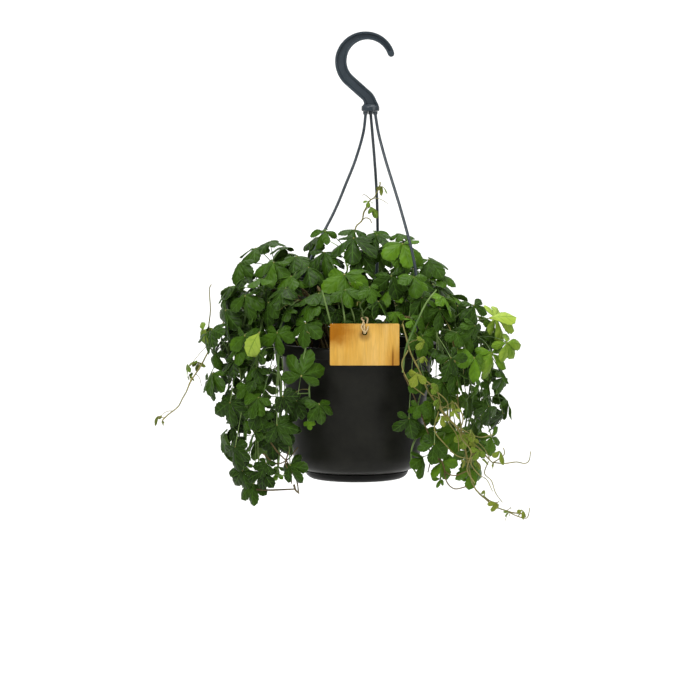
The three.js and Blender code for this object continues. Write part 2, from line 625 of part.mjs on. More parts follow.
// Whether the stretch of a line between two points passes through a triangle.
function pierces([from, to], [corner, second, third]) {
  const run = work.a.subVectors(to, from);
  const first = work.b.subVectors(second, corner);
  const other = work.c.subVectors(third, corner);
  const across = work.d.crossVectors(run, other);
  const size = first.dot(across);
  if (Math.abs(size) < 1e-9) return false;
  const start = work.e.subVectors(from, corner);
  const u = start.dot(across) / size;
  if (u < 0 || u > 1) return false;
  const turn = work.f.crossVectors(start, first);
  const v = run.dot(turn) / size;
  if (v < 0 || u + v > 1) return false;
  const t = other.dot(turn) / size;
  return t >= 0 && t <= 1;
}

function crosses(one, other) {
  if (one.centre.distanceTo(other.centre) > one.radius + other.radius) return false;
  return one.edges.some((edge) => other.triangles.some((triangle) => pierces(edge, triangle)))
    || other.edges.some((edge) => one.triangles.some((triangle) => pierces(edge, triangle)));
}

// A point low enough to meet the pot has to stay outside its rim or its wall.
function clearOfPot(point, gap) {
  if (point.z > 4) return true;
  const reach = point.z > -rim.skirt - 1 ? rim.radius : wallRadius(point.z);
  return Math.hypot(point.x, point.y) > reach + gap;
}

const guards = [];

function isFree(candidates) {
  return candidates.every((candidate) => guards.every((other) => !crosses(candidate, other)));
}

function quad(a, b, c, d) {
  return [[a, b, c], [a, c, d]];
}

function guardMadeParts() {
  for (const side of Object.keys(strandBows)) {
    guards.push(...rodGuards('hanger', smoothCurve(strandRoute(side)).getPoints(20), strandGuard));
  }
  const half = tag.width / 2 + 1.5;
  const bottom = tag.top - tag.height - 1.5;
  for (const y of [tag.back + 1, tag.back - tag.thickness - 1]) {
    const corners = [[-half, bottom], [half, bottom], [half, tag.top + 1.5], [-half, tag.top + 1.5]]
      .map(([x, z]) => new THREE.Vector3(tag.x + x, y, z));
    const edges = corners.map((corner, i) => [corner, corners[(i + 1) % 4]]);
    guards.push(guard('tag', quad(...corners), edges));
  }
  guards.push(...rodGuards('tie', tieRoute(), 1.8));
}

// A stem is turned about the pot's axis, a little at a time, until it is clear. The
// one that the tag is tied to stays where the loop of twine goes round it.
const turns = [0, 2, -2, 4, -4, 6, -6, 9, -9];

function growStem(stem) {
  const radii = stem.young ? stemRadii.shoot : stemRadii.vine;
  for (const degrees of turns) {
    const angle = THREE.MathUtils.degToRad(degrees);
    const route = stem.route.map((point) => point.clone().applyAxisAngle(up, angle));
    const points = smoothCurve(route).getPoints(stem.steps);
    const own = rodGuards(stem.name, points, stemGuard);
    if (stem.tied || isFree(own) || degrees === turns[turns.length - 1]) {
      guards.push(...own);
      return { ...stem, points, radii, leaves: [], wanted: stem.leaves };
    }
  }
  return null;
}

function leafIsFree(leaf) {
  const outline = leafOutline(leaf).flat();
  const stalk = petiolePoints(leaf);
  if (!outline.every((point) => clearOfPot(point, 2.2))) return false;
  if (!stalk.every((point) => clearOfPot(point, 1.5))) return false;
  const blade = bladeGuard(leaf);
  const rods = rodGuards(leaf.owner, stalk, stalkGuard);
  const others = guards.filter((other) => other.owner !== leaf.owner || other.triangles.length > 4);
  return others.every((other) => !crosses(blade, other) && !rods.some((rod) => crosses(rod, other)))
    && guards.every((other) => !crosses(blade, other));
}

function keepLeaf(stem, leaf) {
  stem.leaves.push(leaf);
  guards.push(bladeGuard(leaf), ...rodGuards(leaf.owner, petiolePoints(leaf), stalkGuard));
}

// The first of a leaf's trial places that crosses nothing is the one it takes.
function placeLeaf(stem, trials, proposal) {
  for (let trial = 0; trial < trials; trial += 1) {
    const leaf = proposal(trial);
    if (leafIsFree(leaf)) {
      keepLeaf(stem, leaf);
      return true;
    }
  }
  return false;
}

// A point on the stem's straight stretches, where a stalk's root is sunk in.
function alongStem(stem, share) {
  const place = share * (stem.points.length - 1);
  const before = Math.min(Math.floor(place), stem.points.length - 2);
  return stem.points[before].clone().lerp(stem.points[before + 1], place - before);
}

function nearestOnStem(stem, hub) {
  let best = null;
  for (let i = 6; i <= 38; i += 1) {
    const point = alongStem(stem, i / 40);
    const distance = point.distanceTo(hub);
    if (point.z > soilSurface.z + 12 && (!best || distance < best.distance)) best = { point, distance };
  }
  return best.point;
}

function placeFrontLeaf(stem, [, x, y, z, size, azimuth, rise, turn], seed) {
  const random = seeded(seed);
  return placeLeaf(stem, 14, (trial) => {
    const loose = trial * 0.9;
    const shift = () => (random() - 0.5) * loose;
    const hub = new THREE.Vector3(x + shift(), y + shift(), z + shift());
    const frame = facing(azimuth + 3 * shift(), rise + 3 * shift(), turn + 3 * shift());
    const kind = size >= largeLeaf ? 'broad' : 'small';
    return { ...frame, hub, size, kind, base: nearestOnStem(stem, hub), owner: stem.name };
  });
}

// The rule for all other leaves: they stand alternately to the left and right
// of their stem, face outwards and up, and get smaller towards its tip.
function placeRuleLeaf(stem, index, seed) {
  const random = seeded(seed);
  const from = stem.young ? 0.5 : 0.42;
  return placeLeaf(stem, 16, (trial) => {
    const share = from + (1 - from) * (index + 0.85 + 0.3 * (random() - 0.5)) / stem.wanted;
    const base = alongStem(stem, Math.min(share, 0.995));
    const azimuth = THREE.MathUtils.radToDeg(Math.atan2(base.y, base.x));
    const side = (index + trial) % 2 ? 1 : -1;
    const spread = side * (30 + 45 * random());
    const size = stem.size * (1.08 - 0.3 * index / stem.wanted) * (0.9 + 0.2 * random());
    const hub = polar(size * (0.55 + 0.4 * random()), azimuth + spread, size * (0.1 + 0.5 * random()));
    hub.add(base);
    const rise = 8 + 42 * random() + (base.z > 40 ? 35 : 0);
    const frame = facing(azimuth + spread * 0.7 + 40 * (random() - 0.5), rise, 50 * (random() - 0.5));
    const kind = stem.young ? 'young' : 'small';
    return { ...frame, hub, size, kind, base, owner: stem.name };
  });
}

function growPlant() {
  guardMadeParts();
  const grown = stems.map(growStem);
  const byName = Object.fromEntries(grown.map((stem) => [stem.name, stem]));
  frontLeaves.forEach((row, i) => placeFrontLeaf(byName[row[0]], row, 100 + i));
  for (let index = 0; index < 5; index += 1) {
    grown.forEach((stem, i) => {
      if (index < stem.wanted) placeRuleLeaf(stem, index, 1000 + i * 10 + index);
    });
  }
  return grown;
}

function makeStem(stem) {
  let body = solidOf(taperedRod(stem.points, ...stem.radii, stemSides));
  for (const leaf of stem.leaves) {
    const stalk = taperedRod(petiolePoints(leaf), petiole.root, petiole.tip, petiole.sides);
    body = body.add(solidOf(bladeGeometry(leaf)).add(solidOf(stalk)));
  }
  return geometryOf(body);
}

function makeHanger() {
  const hanger = new THREE.Group();
  hanger.add(named('hanger_hook', makeHook(), 'hanger'));
  return hanger;
}

function makePlanter() {
  const planter = new THREE.Group();
  planter.position.set(potAxisX, 0, rimZ);
  const plant = growPlant();
  const holes = plant.map((stem) => {
    const { x, y } = stem.points[0];
    return { x, y, radius: (stem.radii[0] + 0.8) * Math.SQRT2 };
  });
  planter.add(named('pot', makePot(), 'pot'));
  planter.add(named('drip_tray', makeTray(), 'tray'));
  planter.add(named('soil', makeSoil(holes), 'soil'));
  for (const side of Object.keys(strandBows)) {
    planter.add(named(`hanger_strand_${side}`, makeStrand(side), 'hanger'));
  }
  planter.add(named('tag', makeTag(), 'tag'));
  planter.add(named('tag_tie', makeTie(), 'twine'));
  for (const stem of plant) {
    planter.add(named(stem.name, makeStem(stem), stem.young ? 'youngLeaf' : 'leaf'));
  }
  return planter;
}

const hangingIvy = new THREE.Group();
hangingIvy.add(makeHanger(), makePlanter());

export default hangingIvy;
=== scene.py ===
import math

import bmesh
import bpy
import numpy as np
from mathutils import Matrix, Vector, noise


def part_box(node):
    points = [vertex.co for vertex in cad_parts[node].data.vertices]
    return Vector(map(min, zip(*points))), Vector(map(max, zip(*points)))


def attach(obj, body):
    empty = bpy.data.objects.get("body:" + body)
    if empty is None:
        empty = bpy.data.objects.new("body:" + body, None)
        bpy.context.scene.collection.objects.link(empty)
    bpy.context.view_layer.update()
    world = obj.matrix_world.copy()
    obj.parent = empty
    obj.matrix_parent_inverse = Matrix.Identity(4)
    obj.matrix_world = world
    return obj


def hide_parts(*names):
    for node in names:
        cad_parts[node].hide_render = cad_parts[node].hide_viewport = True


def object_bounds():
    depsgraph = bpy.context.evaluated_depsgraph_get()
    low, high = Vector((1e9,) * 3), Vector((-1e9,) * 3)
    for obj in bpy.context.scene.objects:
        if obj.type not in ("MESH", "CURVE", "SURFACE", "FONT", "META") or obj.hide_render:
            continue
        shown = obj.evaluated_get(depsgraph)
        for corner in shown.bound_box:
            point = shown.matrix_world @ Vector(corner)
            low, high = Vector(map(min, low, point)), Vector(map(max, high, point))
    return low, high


# A miniature grape ivy in a plastic hanging pot, seen from the front. Metres, +Z up,
# and the origin is the seat of the hook. The pot and the plant are worked out in
# millimetres from the middle of the rim's top, and go to metres as each piece is kept.
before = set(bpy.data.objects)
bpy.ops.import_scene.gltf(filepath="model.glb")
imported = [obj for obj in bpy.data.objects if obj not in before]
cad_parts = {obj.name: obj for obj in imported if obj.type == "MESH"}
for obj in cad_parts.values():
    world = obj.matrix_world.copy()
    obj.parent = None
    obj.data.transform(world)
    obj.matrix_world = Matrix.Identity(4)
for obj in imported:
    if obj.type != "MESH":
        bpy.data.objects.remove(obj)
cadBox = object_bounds()
print("frame loaded,", len(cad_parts), "nodes")

potLow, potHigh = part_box("pot")
potAxis = Vector(((potLow.x + potHigh.x) / 2, (potLow.y + potHigh.y) / 2, potHigh.z))
fromHook = Matrix.Scale(0.001, 4)
fromRim = Matrix.Translation(potAxis) @ fromHook
up = np.array((0.0, 0.0, 1.0))


# helpers for pieces

def meshFrom(bm, name):
    mesh = bpy.data.meshes.new(name)
    bm.to_mesh(mesh)
    bm.free()
    return mesh


def addObject(name, data):
    holder = bpy.data.objects.new(name, data)
    bpy.context.scene.collection.objects.link(holder)
    return holder


def keepPiece(name, bm, place, materials, node, sharp):
    bmesh.ops.transform(bm, matrix=place, verts=bm.verts)
    mesh = meshFrom(bm, name)
    for material in materials:
        mesh.materials.append(material)
    mesh.shade_smooth()
    mesh.set_sharp_from_angle(angle=math.radians(sharp))
    piece = addObject(name, mesh)
    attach(piece, "root")
    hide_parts(node)
    return piece


def paintFaces(verts, index):
    for face in {face for vert in verts for face in vert.link_faces}:
        face.material_index = index


def bevelSharp(bm, degrees, offset, segments):
    limit = math.radians(degrees)
    edges = [e for e in bm.edges if e.is_manifold and e.calc_face_angle(0) > limit]
    bmesh.ops.bevel(bm, geom=edges, offset=offset, offset_type="OFFSET", segments=segments,
                    profile=0.5, affect="EDGES", clamp_overlap=True, material=-1)


def spinProfile(bm, profile, steps, place=(0, 0, 0)):
    # a turned shape from [radius, height] pairs that start and end on the axis
    turned = bmesh.new()
    verts = [turned.verts.new((radius, 0, height)) for radius, height in profile]
    edges = [turned.edges.new(pair) for pair in zip(verts, verts[1:])]
    bmesh.ops.spin(turned, geom=verts + edges, cent=(0, 0, 0), axis=(0, 0, 1),
                   angle=2 * math.pi, steps=steps, use_merge=True, use_duplicate=False)
    bmesh.ops.remove_doubles(turned, verts=turned.verts, dist=0.0005)
    bmesh.ops.recalc_face_normals(turned, faces=turned.faces)
    bmesh.ops.translate(turned, verts=turned.verts, vec=place)
    mesh = meshFrom(turned, "turned")
    bm.from_mesh(mesh)
    bpy.data.meshes.remove(mesh)


def arcPoints(centre, radius, start, end, steps):
    # [across, height] pairs round an arc, in degrees
    angles = [math.radians(start + (end - start) * i / steps) for i in range(steps + 1)]
    return [[centre[0] + radius * math.cos(a), centre[1] + radius * math.sin(a)] for a in angles]


def addTubes(bm, tubes, sides=1):
    # each tube is its points, a radius for each point, and its material's index
    curve = bpy.data.curves.new("tubes", "CURVE")
    curve.dimensions = "3D"
    curve.bevel_depth = 1.0
    curve.bevel_resolution = sides
    curve.use_fill_caps = True
    for points, radii, index in tubes:
        spline = curve.splines.new("POLY")
        spline.points.add(len(points) - 1)
        spline.points.foreach_set("co", [c for p in points for c in (*p, 1.0)])
        spline.points.foreach_set("radius", list(radii))
        while len(curve.materials) <= index:
            curve.materials.append(None)
        spline.material_index = index
    holder = addObject("tubes", curve)
    shown = holder.evaluated_get(bpy.context.evaluated_depsgraph_get())
    mesh = bpy.data.meshes.new_from_object(shown)
    bm.from_mesh(mesh)
    bpy.data.objects.remove(holder)
    bpy.data.curves.remove(curve)
    bpy.data.meshes.remove(mesh)


# helpers for materials

def linear(hexColour):
    parts = [int(hexColour[i:i + 2], 16) / 255 for i in (1, 3, 5)]
    return (*[c / 12.92 if c <= 0.04045 else ((c + 0.055) / 1.055) ** 2.4 for c in parts], 1.0)


def newMaterial(name, colour, roughness, gloss):
    material = bpy.data.materials.new(name)
    material.use_nodes = True
    shader = material.node_tree.nodes["Principled BSDF"]
    shader.inputs["Base Color"].default_value = linear(colour)
    shader.inputs["Roughness"].default_value = roughness
    shader.inputs["Specular IOR Level"].default_value = gloss
    return material, material.node_tree


def addNode(tree, kind, inputs=None, stops=None, **settings):
    node = tree.nodes.new(kind)
    for name, value in settings.items():
        setattr(node, name, value)
    for name, value in (inputs or {}).items():
        if isinstance(value, bpy.types.NodeSocket):
            tree.links.new(value, node.inputs[name])
        else:
            node.inputs[name].default_value = value
    if stops:
        while len(node.color_ramp.elements) < len(stops):
            node.color_ramp.elements.new(1.0)
        for element, (position, colour) in zip(node.color_ramp.elements, stops):
            element.position = position
            element.color = linear(colour)
    return node


def objectPlace(tree):
    return addNode(tree, "ShaderNodeTexCoord").outputs["Object"]


def attribute(tree, name):
    return addNode(tree, "ShaderNodeAttribute", attribute_name=name).outputs["Fac"]


def grainOf(tree, place, scale, detail, roughness=0.5, distortion=0.0):
    return addNode(tree, "ShaderNodeTexNoise", {"Vector": place, "Scale": scale, "Detail": detail,
                   "Roughness": roughness, "Distortion": distortion}).outputs["Fac"]


def tinted(tree, value, stops):
    return addNode(tree, "ShaderNodeValToRGB", {"Fac": value}, stops=stops).outputs["Color"]


def ranged(tree, value, begin, full, low, high, **settings):
    return addNode(tree, "ShaderNodeMapRange", {"Value": value, "From Min": begin, "From Max": full,
                   "To Min": low, "To Max": high}, **settings).outputs["Result"]


def maths(tree, operation, *values):
    return addNode(tree, "ShaderNodeMath", dict(enumerate(values)),
                   operation=operation).outputs["Value"]


def mixed(tree, share, under, colour, **settings):
    return addNode(tree, "ShaderNodeMix", {"Factor": share, 6: under, 7: linear(colour)},
                   data_type="RGBA", **settings).outputs[2]


def dress(material, colour, height, strength, depth, rough=None):
    # a colour, a bump of so many metres and, where it varies, the roughness
    tree = material.node_tree
    shader = tree.nodes["Principled BSDF"]
    bump = addNode(tree, "ShaderNodeBump", {"Height": height, "Strength": strength,
                   "Distance": depth})
    tree.links.new(colour, shader.inputs["Base Color"])
    tree.links.new(bump.outputs["Normal"], shader.inputs["Normal"])
    if rough:
        tree.links.new(rough, shader.inputs["Roughness"])
    return material


def makeSpeckled(name, colour, roughness, gloss, stops, colourGrain, bumpGrain, strength, depth):
    # colour and bump from noise; a grain is its scale, detail and roughness
    material, tree = newMaterial(name, colour, roughness, gloss)
    place = objectPlace(tree)
    return dress(material, tinted(tree, grainOf(tree, place, *colourGrain), stops),
                 grainOf(tree, place, *bumpGrain), strength, depth)


# moulded polypropylene for the pot, the tray and the hanger: smooth and a little
# waxy, with a faint orange peel from the mould and a thin film of dust

plasticLook = {"peelMm": 1.6, "peelDepth": 0.00003, "peel": 0.25, "dustMm": 38, "duller": 0.1}


def makePlastic(name, colour, dusty, roughness, gloss):
    s = plasticLook
    material, tree = newMaterial(name, colour, roughness, gloss)
    place = objectPlace(tree)
    dust = grainOf(tree, place, 1000 / s["dustMm"], 5.0, 0.65)
    rough = ranged(tree, dust, 0.3, 0.75, roughness - 0.06, roughness + s["duller"])
    return dress(material, tinted(tree, dust, [(0.35, colour), (0.75, dusty)]),
                 grainOf(tree, place, 1000 / s["peelMm"], 2.0), s["peel"], s["peelDepth"], rough)


potPlastic = makePlastic("charcoal_polypropylene", "#171714", "#23231e", 0.36, 0.12)
trayPlastic = makePlastic("black_polypropylene", "#070706", "#0e0e0c", 0.42, 0.08)
hangerPlastic = makePlastic("blue_grey_polypropylene", "#283138", "#384148", 0.3, 0.5)


# thin sawn softwood under a honey stain, which gathered darker at one top corner,
# round the hole and at the foot; matt, with fine pores along the grain. The stains'
# reaches are in metres from the plate's edges: where each begins and where it is full

woodLook = {
    "grainMm": 1.7, "grainStretch": 0.09, "bandMm": 11, "bandStretch": 0.12,
    "cornerX": (0.04, 0.004), "cornerZ": (0.032, 0.006), "footX": (0.02, 0.003),
    "footZ": (0.022, 0.006), "streakLeft": (0.0078, 0.0068), "streakRight": (0.0048, 0.0062),
    "streakZ": (0.024, 0.008), "holeDrop": 0.0115, "ring": (0.008, 0.0025),
}


def makeStainedWood(low, high):
    s = woodLook
    material, tree = newMaterial("stained_softwood", "#cf9d4d", 0.55, 0.14)
    place = objectPlace(tree)

    def alongGrain(sizeMm, stretch):
        scale = 1000 / sizeMm
        return addNode(tree, "ShaderNodeMapping", {"Vector": place, "Scale": (
                       scale, scale, scale * stretch)}).outputs["Vector"]

    def fading(value, edge, reaches, most=1.0):
        begin, full = [edge + reach for reach in reaches]
        return ranged(tree, value, begin, full, 0.0, most, interpolation_type="SMOOTHSTEP")

    def fromEdge(value, edge, reaches, most=1.0):
        begin, full = [edge - reach for reach in reaches]
        return ranged(tree, value, begin, full, 0.0, most, interpolation_type="SMOOTHSTEP")

    def times(first, second):
        return maths(tree, "MULTIPLY", first, second)

    grain = grainOf(tree, alongGrain(s["grainMm"], s["grainStretch"]), 1.0, 6.0, 0.6, 0.6)
    bands = grainOf(tree, alongGrain(s["bandMm"], s["bandStretch"]), 1.0, 3.0)
    patchy = grainOf(tree, place, 70.0, 4.0)
    coloured = addNode(tree, "ShaderNodeVectorMath", {
        0: tinted(tree, bands, [(0.3, "#cc983a"), (0.5, "#d5a750"), (0.7, "#deb568")]),
        1: ranged(tree, grain, 0.35, 0.65, 0.86, 1.03)}, operation="MULTIPLY").outputs["Vector"]
    parts = addNode(tree, "ShaderNodeSeparateXYZ", {"Vector": place})
    x, z = parts.outputs["X"], parts.outputs["Z"]
    hole = ((low.x + high.x) / 2, low.y, high.z - s["holeDrop"])
    toHole = addNode(tree, "ShaderNodeVectorMath", {0: place, 1: hole}, operation="DISTANCE")
    corner = times(fading(x, low.x, s["cornerX"]), fromEdge(z, high.z, s["cornerZ"]))
    pool = fading(times(corner, patchy), 0.0, (0.0, 0.46))
    foot = times(fromEdge(x, high.x, s["footX"]), fading(z, low.z, s["footZ"]))
    streak = times(fromEdge(x, high.x, s["streakLeft"]), fromEdge(x, high.x, s["streakRight"]))
    ring = fading(toHole.outputs["Value"], 0.0, s["ring"], 1.1)
    for share, colour in ((pool, "#c09a30"), (times(foot, patchy), "#d0a850"),
                          (times(streak, fading(z, low.z, s["streakZ"], 0.75)), "#8c7040"),
                          (times(ring, patchy), "#70542c")):
        coloured = mixed(tree, share, coloured, colour, blend_type="MULTIPLY")
    return dress(material, coloured, grain, 0.5, 0.0002)


tagWood = makeStainedWood(*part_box("tag"))


# two-ply jute twine: pale straw fibres, some of them darker, and matt

fibreGrain = (1400.0, 4.0, 0.5)
juteTwine = makeSpeckled("jute_twine", "#d6be90", 0.9, 0.2,
                         [(0.3, "#a98c5c"), (0.55, "#d6be90"), (0.8, "#efe0bd")],
                         fibreGrain, fibreGrain, 0.7, 0.0002)


# damp peat with bark and perlite: nearly black brown, rough and crumbly

crumbGrain = (420.0, 8.0, 0.7)
soilMaterials = [
    makeSpeckled(name, light, roughness, 0.3, [(0.35, dark), (0.7, light)], crumbGrain,
                 crumbGrain, 0.9, 0.0012)
    for name, dark, light, roughness in (
        ("damp_peat", "#140d08", "#43301f", 0.95), ("pine_bark", "#2c190e", "#6b4326", 0.85),
        ("perlite", "#c9c6bd", "#f1efe8", 0.9))]


# ivy stems: green and smooth when new, then olive, and brown with thin bark when old

stemMaterials = [
    makeSpeckled(name, light, roughness, 0.3, [(0.35, dark), (0.65, light)],
                 (70.0, 4.0, 0.5), (1500.0, 2.0, 0.5), 0.4, 0.0002)
    for name, dark, light, roughness in (
        ("woody_ivy_stem", "#3c2e17", "#6c5d36", 0.7),
        ("green_ivy_stalk", "#44602a", "#72884a", 0.5),
        ("young_ivy_stem", "#6c6934", "#8e8448", 0.5))]


# grape ivy leaf: a waxy dark upper side with a sunk pale midrib and side veins, and
# the blade quilted up between them; the under side is paler and has no gloss. A
# painted highlight lightens the rim of each leaflet

leafLook = {
    "veinPairs": 7.0, "veinSlant": 1.9, "midrib": 0.05, "midribPale": 0.5, "veinWidth": (0.04, 0.2),
    "veinPale": (0.42, 0.12), "rimHighlightFrom": 0.455, "rimHighlight": 0.48, "patchScale": 130.0,
    "patchTone": 0.26, "underPale": 0.6, "underRough": 0.7, "cellMm": 0.9, "quilt": 0.25,
    "bump": 0.55, "depth": 0.0006,
}


def makeLeafMaterial(name, stops, veinAndRimHighlight, under, roughness):
    s = leafLook
    material, tree = newMaterial(name, stops[1][1], roughness, 0.11)
    source = addNode(tree, "ShaderNodeTexCoord")
    place = source.outputs["Object"]
    uv = addNode(tree, "ShaderNodeSeparateXYZ", {"Vector": source.outputs["UV"]}).outputs
    across = maths(tree, "ABSOLUTE", maths(tree, "SUBTRACT", uv["X"], 0.5))
    slant = maths(tree, "MULTIPLY", across, -2 * s["veinSlant"])
    between = maths(tree, "PINGPONG", maths(tree, "MULTIPLY_ADD", uv["Y"], s["veinPairs"], slant),
                    1.0)
    midrib = ranged(tree, across, s["midrib"] * 0.3, s["midrib"], 1.0, 0.0)
    sideVein = maths(tree, "MULTIPLY", ranged(tree, between, *s["veinWidth"], 1.0, 0.0),
                     ranged(tree, across, 0.1, 0.5, *s["veinPale"]))
    veins = maths(tree, "MAXIMUM", sideVein, maths(tree, "MULTIPLY", midrib, s["midribPale"]))
    # painted highlight: each leaflet grows lighter towards its outer edge, in the pale vein colour
    edge = ranged(tree, across, s["rimHighlightFrom"], 0.5, 0.0, s["rimHighlight"])
    patches = maths(tree, "MULTIPLY_ADD", grainOf(tree, place, s["patchScale"], 3.0),
                    s["patchTone"], -s["patchTone"] / 2)
    blade = tinted(tree, maths(tree, "ADD", attribute(tree, "tone"), patches), stops)
    # the pale veins are the leaf's own colour; the lighter rim mixed in with them is a painted
    # highlight
    veinedWithRimHighlight = mixed(tree, maths(tree, "MAXIMUM", veins, edge), blade, veinAndRimHighlight)
    below = attribute(tree, "underside")
    sided = mixed(tree, maths(tree, "MULTIPLY", below, s["underPale"]), veinedWithRimHighlight, under)
    cells = grainOf(tree, place, 1000 / s["cellMm"], 2.0)
    quilted = maths(tree, "MULTIPLY_ADD", cells, s["quilt"], between)
    return dress(material, sided, maths(tree, "SUBTRACT", quilted, midrib), s["bump"], s["depth"],
                 ranged(tree, below, 0.0, 1.0, roughness, s["underRough"]))


greenStops = [(0.0, "#141f06"), (0.25, "#223709"), (0.5, "#36530b"), (0.75, "#557a13"),
              (1.0, "#96ad40")]
youngStops = [(0.0, "#42601a"), (0.35, "#5f7a22"), (0.7, "#7f872e"), (1.0, "#978c3c")]
ivyLeaf = makeLeafMaterial("waxy_ivy_leaf", greenStops, "#4c7224", "#5c7836", 0.42)
youngIvyLeaf = makeLeafMaterial("young_ivy_leaf", youngStops, "#9aa04a", "#8a9448", 0.48)
woodyIndex, greenIndex, youngIndex = 1, 2, 3
print("materials made")


# the hanging pot, its tray and the soil

potShape = {
    "rim": 83.0, "ledge": 2.2, "skirt": 11.0, "skirtWall": 1.4, "top": 76.2, "bottom": 64.0,
    "wall": 2.0, "bottomZ": -108.0, "seam": 52.6, "seamZ": -126.7, "foot": 49.3, "footZ": -130.0,
    "floor": 49.0, "floorZ": -128.0, "rimEase": 0.4, "rimDrop": 1.8, "bevel": 0.45, "steps": 112,
}
lugs = {"radius": 78.6, "hole": 2.05, "angles": {"left": 198, "back": 78, "right": -42}}


def polar(radius, degrees, z=0.0):
    angle = math.radians(degrees)
    return np.array((radius * math.cos(angle), radius * math.sin(angle), z))


def wallRadius(z):
    share = (z + potShape["ledge"]) / (potShape["bottomZ"] + potShape["ledge"])
    return potShape["top"] + (potShape["bottom"] - potShape["top"]) * share


def shoulder(reach, topZ, endRadius, endZ, steps):
    # the wall's turn into the foot, a quarter of an ellipse with a flatter end
    return [[endRadius + (reach - endRadius) * math.sin(math.pi / 2 * i / steps) ** 0.8,
             endZ + (topZ - endZ) * (1 - math.cos(math.pi / 2 * i / steps)) ** 0.9]
            for i in range(steps + 1)]


def makePot():
    s = potShape
    skirtInner = s["rim"] - s["skirtWall"]
    profile = [[0, s["footZ"]], [s["foot"], s["footZ"]], [s["foot"], s["seamZ"]]]
    profile += shoulder(s["bottom"], s["bottomZ"], s["seam"], s["seamZ"], 9)
    profile += [[s["top"], -s["ledge"]], [skirtInner, -s["ledge"]], [skirtInner, -s["skirt"]],
                [s["rim"] - s["rimEase"], -s["skirt"]], [s["rim"], -s["rimDrop"]],
                [s["rim"] - 1, 0], [s["top"] - s["wall"], 0]]
    inside = shoulder(s["bottom"] - s["wall"], s["bottomZ"], s["floor"], s["floorZ"], 7)
    profile += inside[::-1] + [[0, s["floorZ"]]]
    bm = bmesh.new()
    spinProfile(bm, profile, s["steps"])
    bevelSharp(bm, 32, s["bevel"], 3)
    cutLugHoles(keepPiece("hanging_pot", bm, fromRim, [potPlastic], "pot", 35))


def cutLugHoles(pot):
    # the three holes through the ledge of the rim that the strands snap into
    bm = bmesh.new()
    for angle in lugs["angles"].values():
        place = Matrix.Translation(polar(lugs["radius"], angle, -1.0))
        bmesh.ops.create_cone(bm, cap_ends=True, segments=24, radius1=lugs["hole"],
                              radius2=lugs["hole"], depth=6.0, matrix=place)
    bmesh.ops.transform(bm, matrix=fromRim, verts=bm.verts)
    cutter = addObject("lug_cutters", meshFrom(bm, "lug_cutters"))
    cut = pot.modifiers.new("lug_holes", "BOOLEAN")
    cut.operation = "DIFFERENCE"
    cut.solver = "EXACT"
    cut.object = cutter
    whole = pot.evaluated_get(bpy.context.evaluated_depsgraph_get())
    pot.data = bpy.data.meshes.new_from_object(whole)
    pot.modifiers.clear()
    bpy.data.objects.remove(cutter)


trayShape = {"base": 42.0, "radius": 52.0, "inner": 49.7, "bottom": -136.0, "rimZ": -128.0,
             "round": 9.0, "wellZ": 5.2, "well": 45.6, "wellFloor": 2.2, "floor": 1.9, "bevel": 0.3,
             "ribs": 22, "rib": (1.9, 5.4, 1.6)}


def makeTray():
    s = trayShape
    base = s["bottom"]
    profile = [[0, base], [s["base"], base]]
    profile += arcPoints((s["base"] + 1.0, base + s["round"]), s["round"], -80, -10, 7)
    profile += [[s["radius"], s["rimZ"] - 0.6], [s["radius"] - 0.5, s["rimZ"]],
                [s["inner"], s["rimZ"]], [s["inner"], base + s["wellZ"]],
                [s["well"], base + s["wellFloor"]], [0, base + s["floor"]]]
    bm = bmesh.new()
    spinProfile(bm, profile, 96)
    bevelSharp(bm, 35, s["bevel"], 2)
    for i in range(s["ribs"]):
        # small ribs that carry the pot, with dark gaps between them round the seam
        rib = bmesh.ops.create_cube(bm, size=1.0)["verts"]
        bmesh.ops.scale(bm, vec=s["rib"], verts=rib)
        middle = ((s["inner"] + s["radius"]) / 2, 0, s["rimZ"] + 0.5)
        bmesh.ops.translate(bm, vec=middle, verts=rib)
        turn = Matrix.Rotation((i + 0.5) * 2 * math.pi / s["ribs"], 3, "Z")
        bmesh.ops.rotate(bm, cent=(0, 0, 0), matrix=turn, verts=rib)
    keepPiece("drip_saucer", bm, fromRim, [trayPlastic], "drip_tray", 35)


soilShape = {
    "z": -12.0, "crown": 2.0, "gap": 0.35, "foot": (48.4, -128.0), "shoulder": (54.4, -121.5),
    "heave": 2.6, "heaveScale": 0.11, "crumbs": 320, "crumb": (0.9, 1.5), "barkAbove": 0.8,
    "perliteAbove": 0.72, "barkFlat": (1.5, 0.8, 0.45), "crumbFlat": (1, 0.85, 0.75),
}


def seeded(seed):
    state = seed
    while True:
        state = (state * 16807) % 2147483647
        yield state / 2147483647


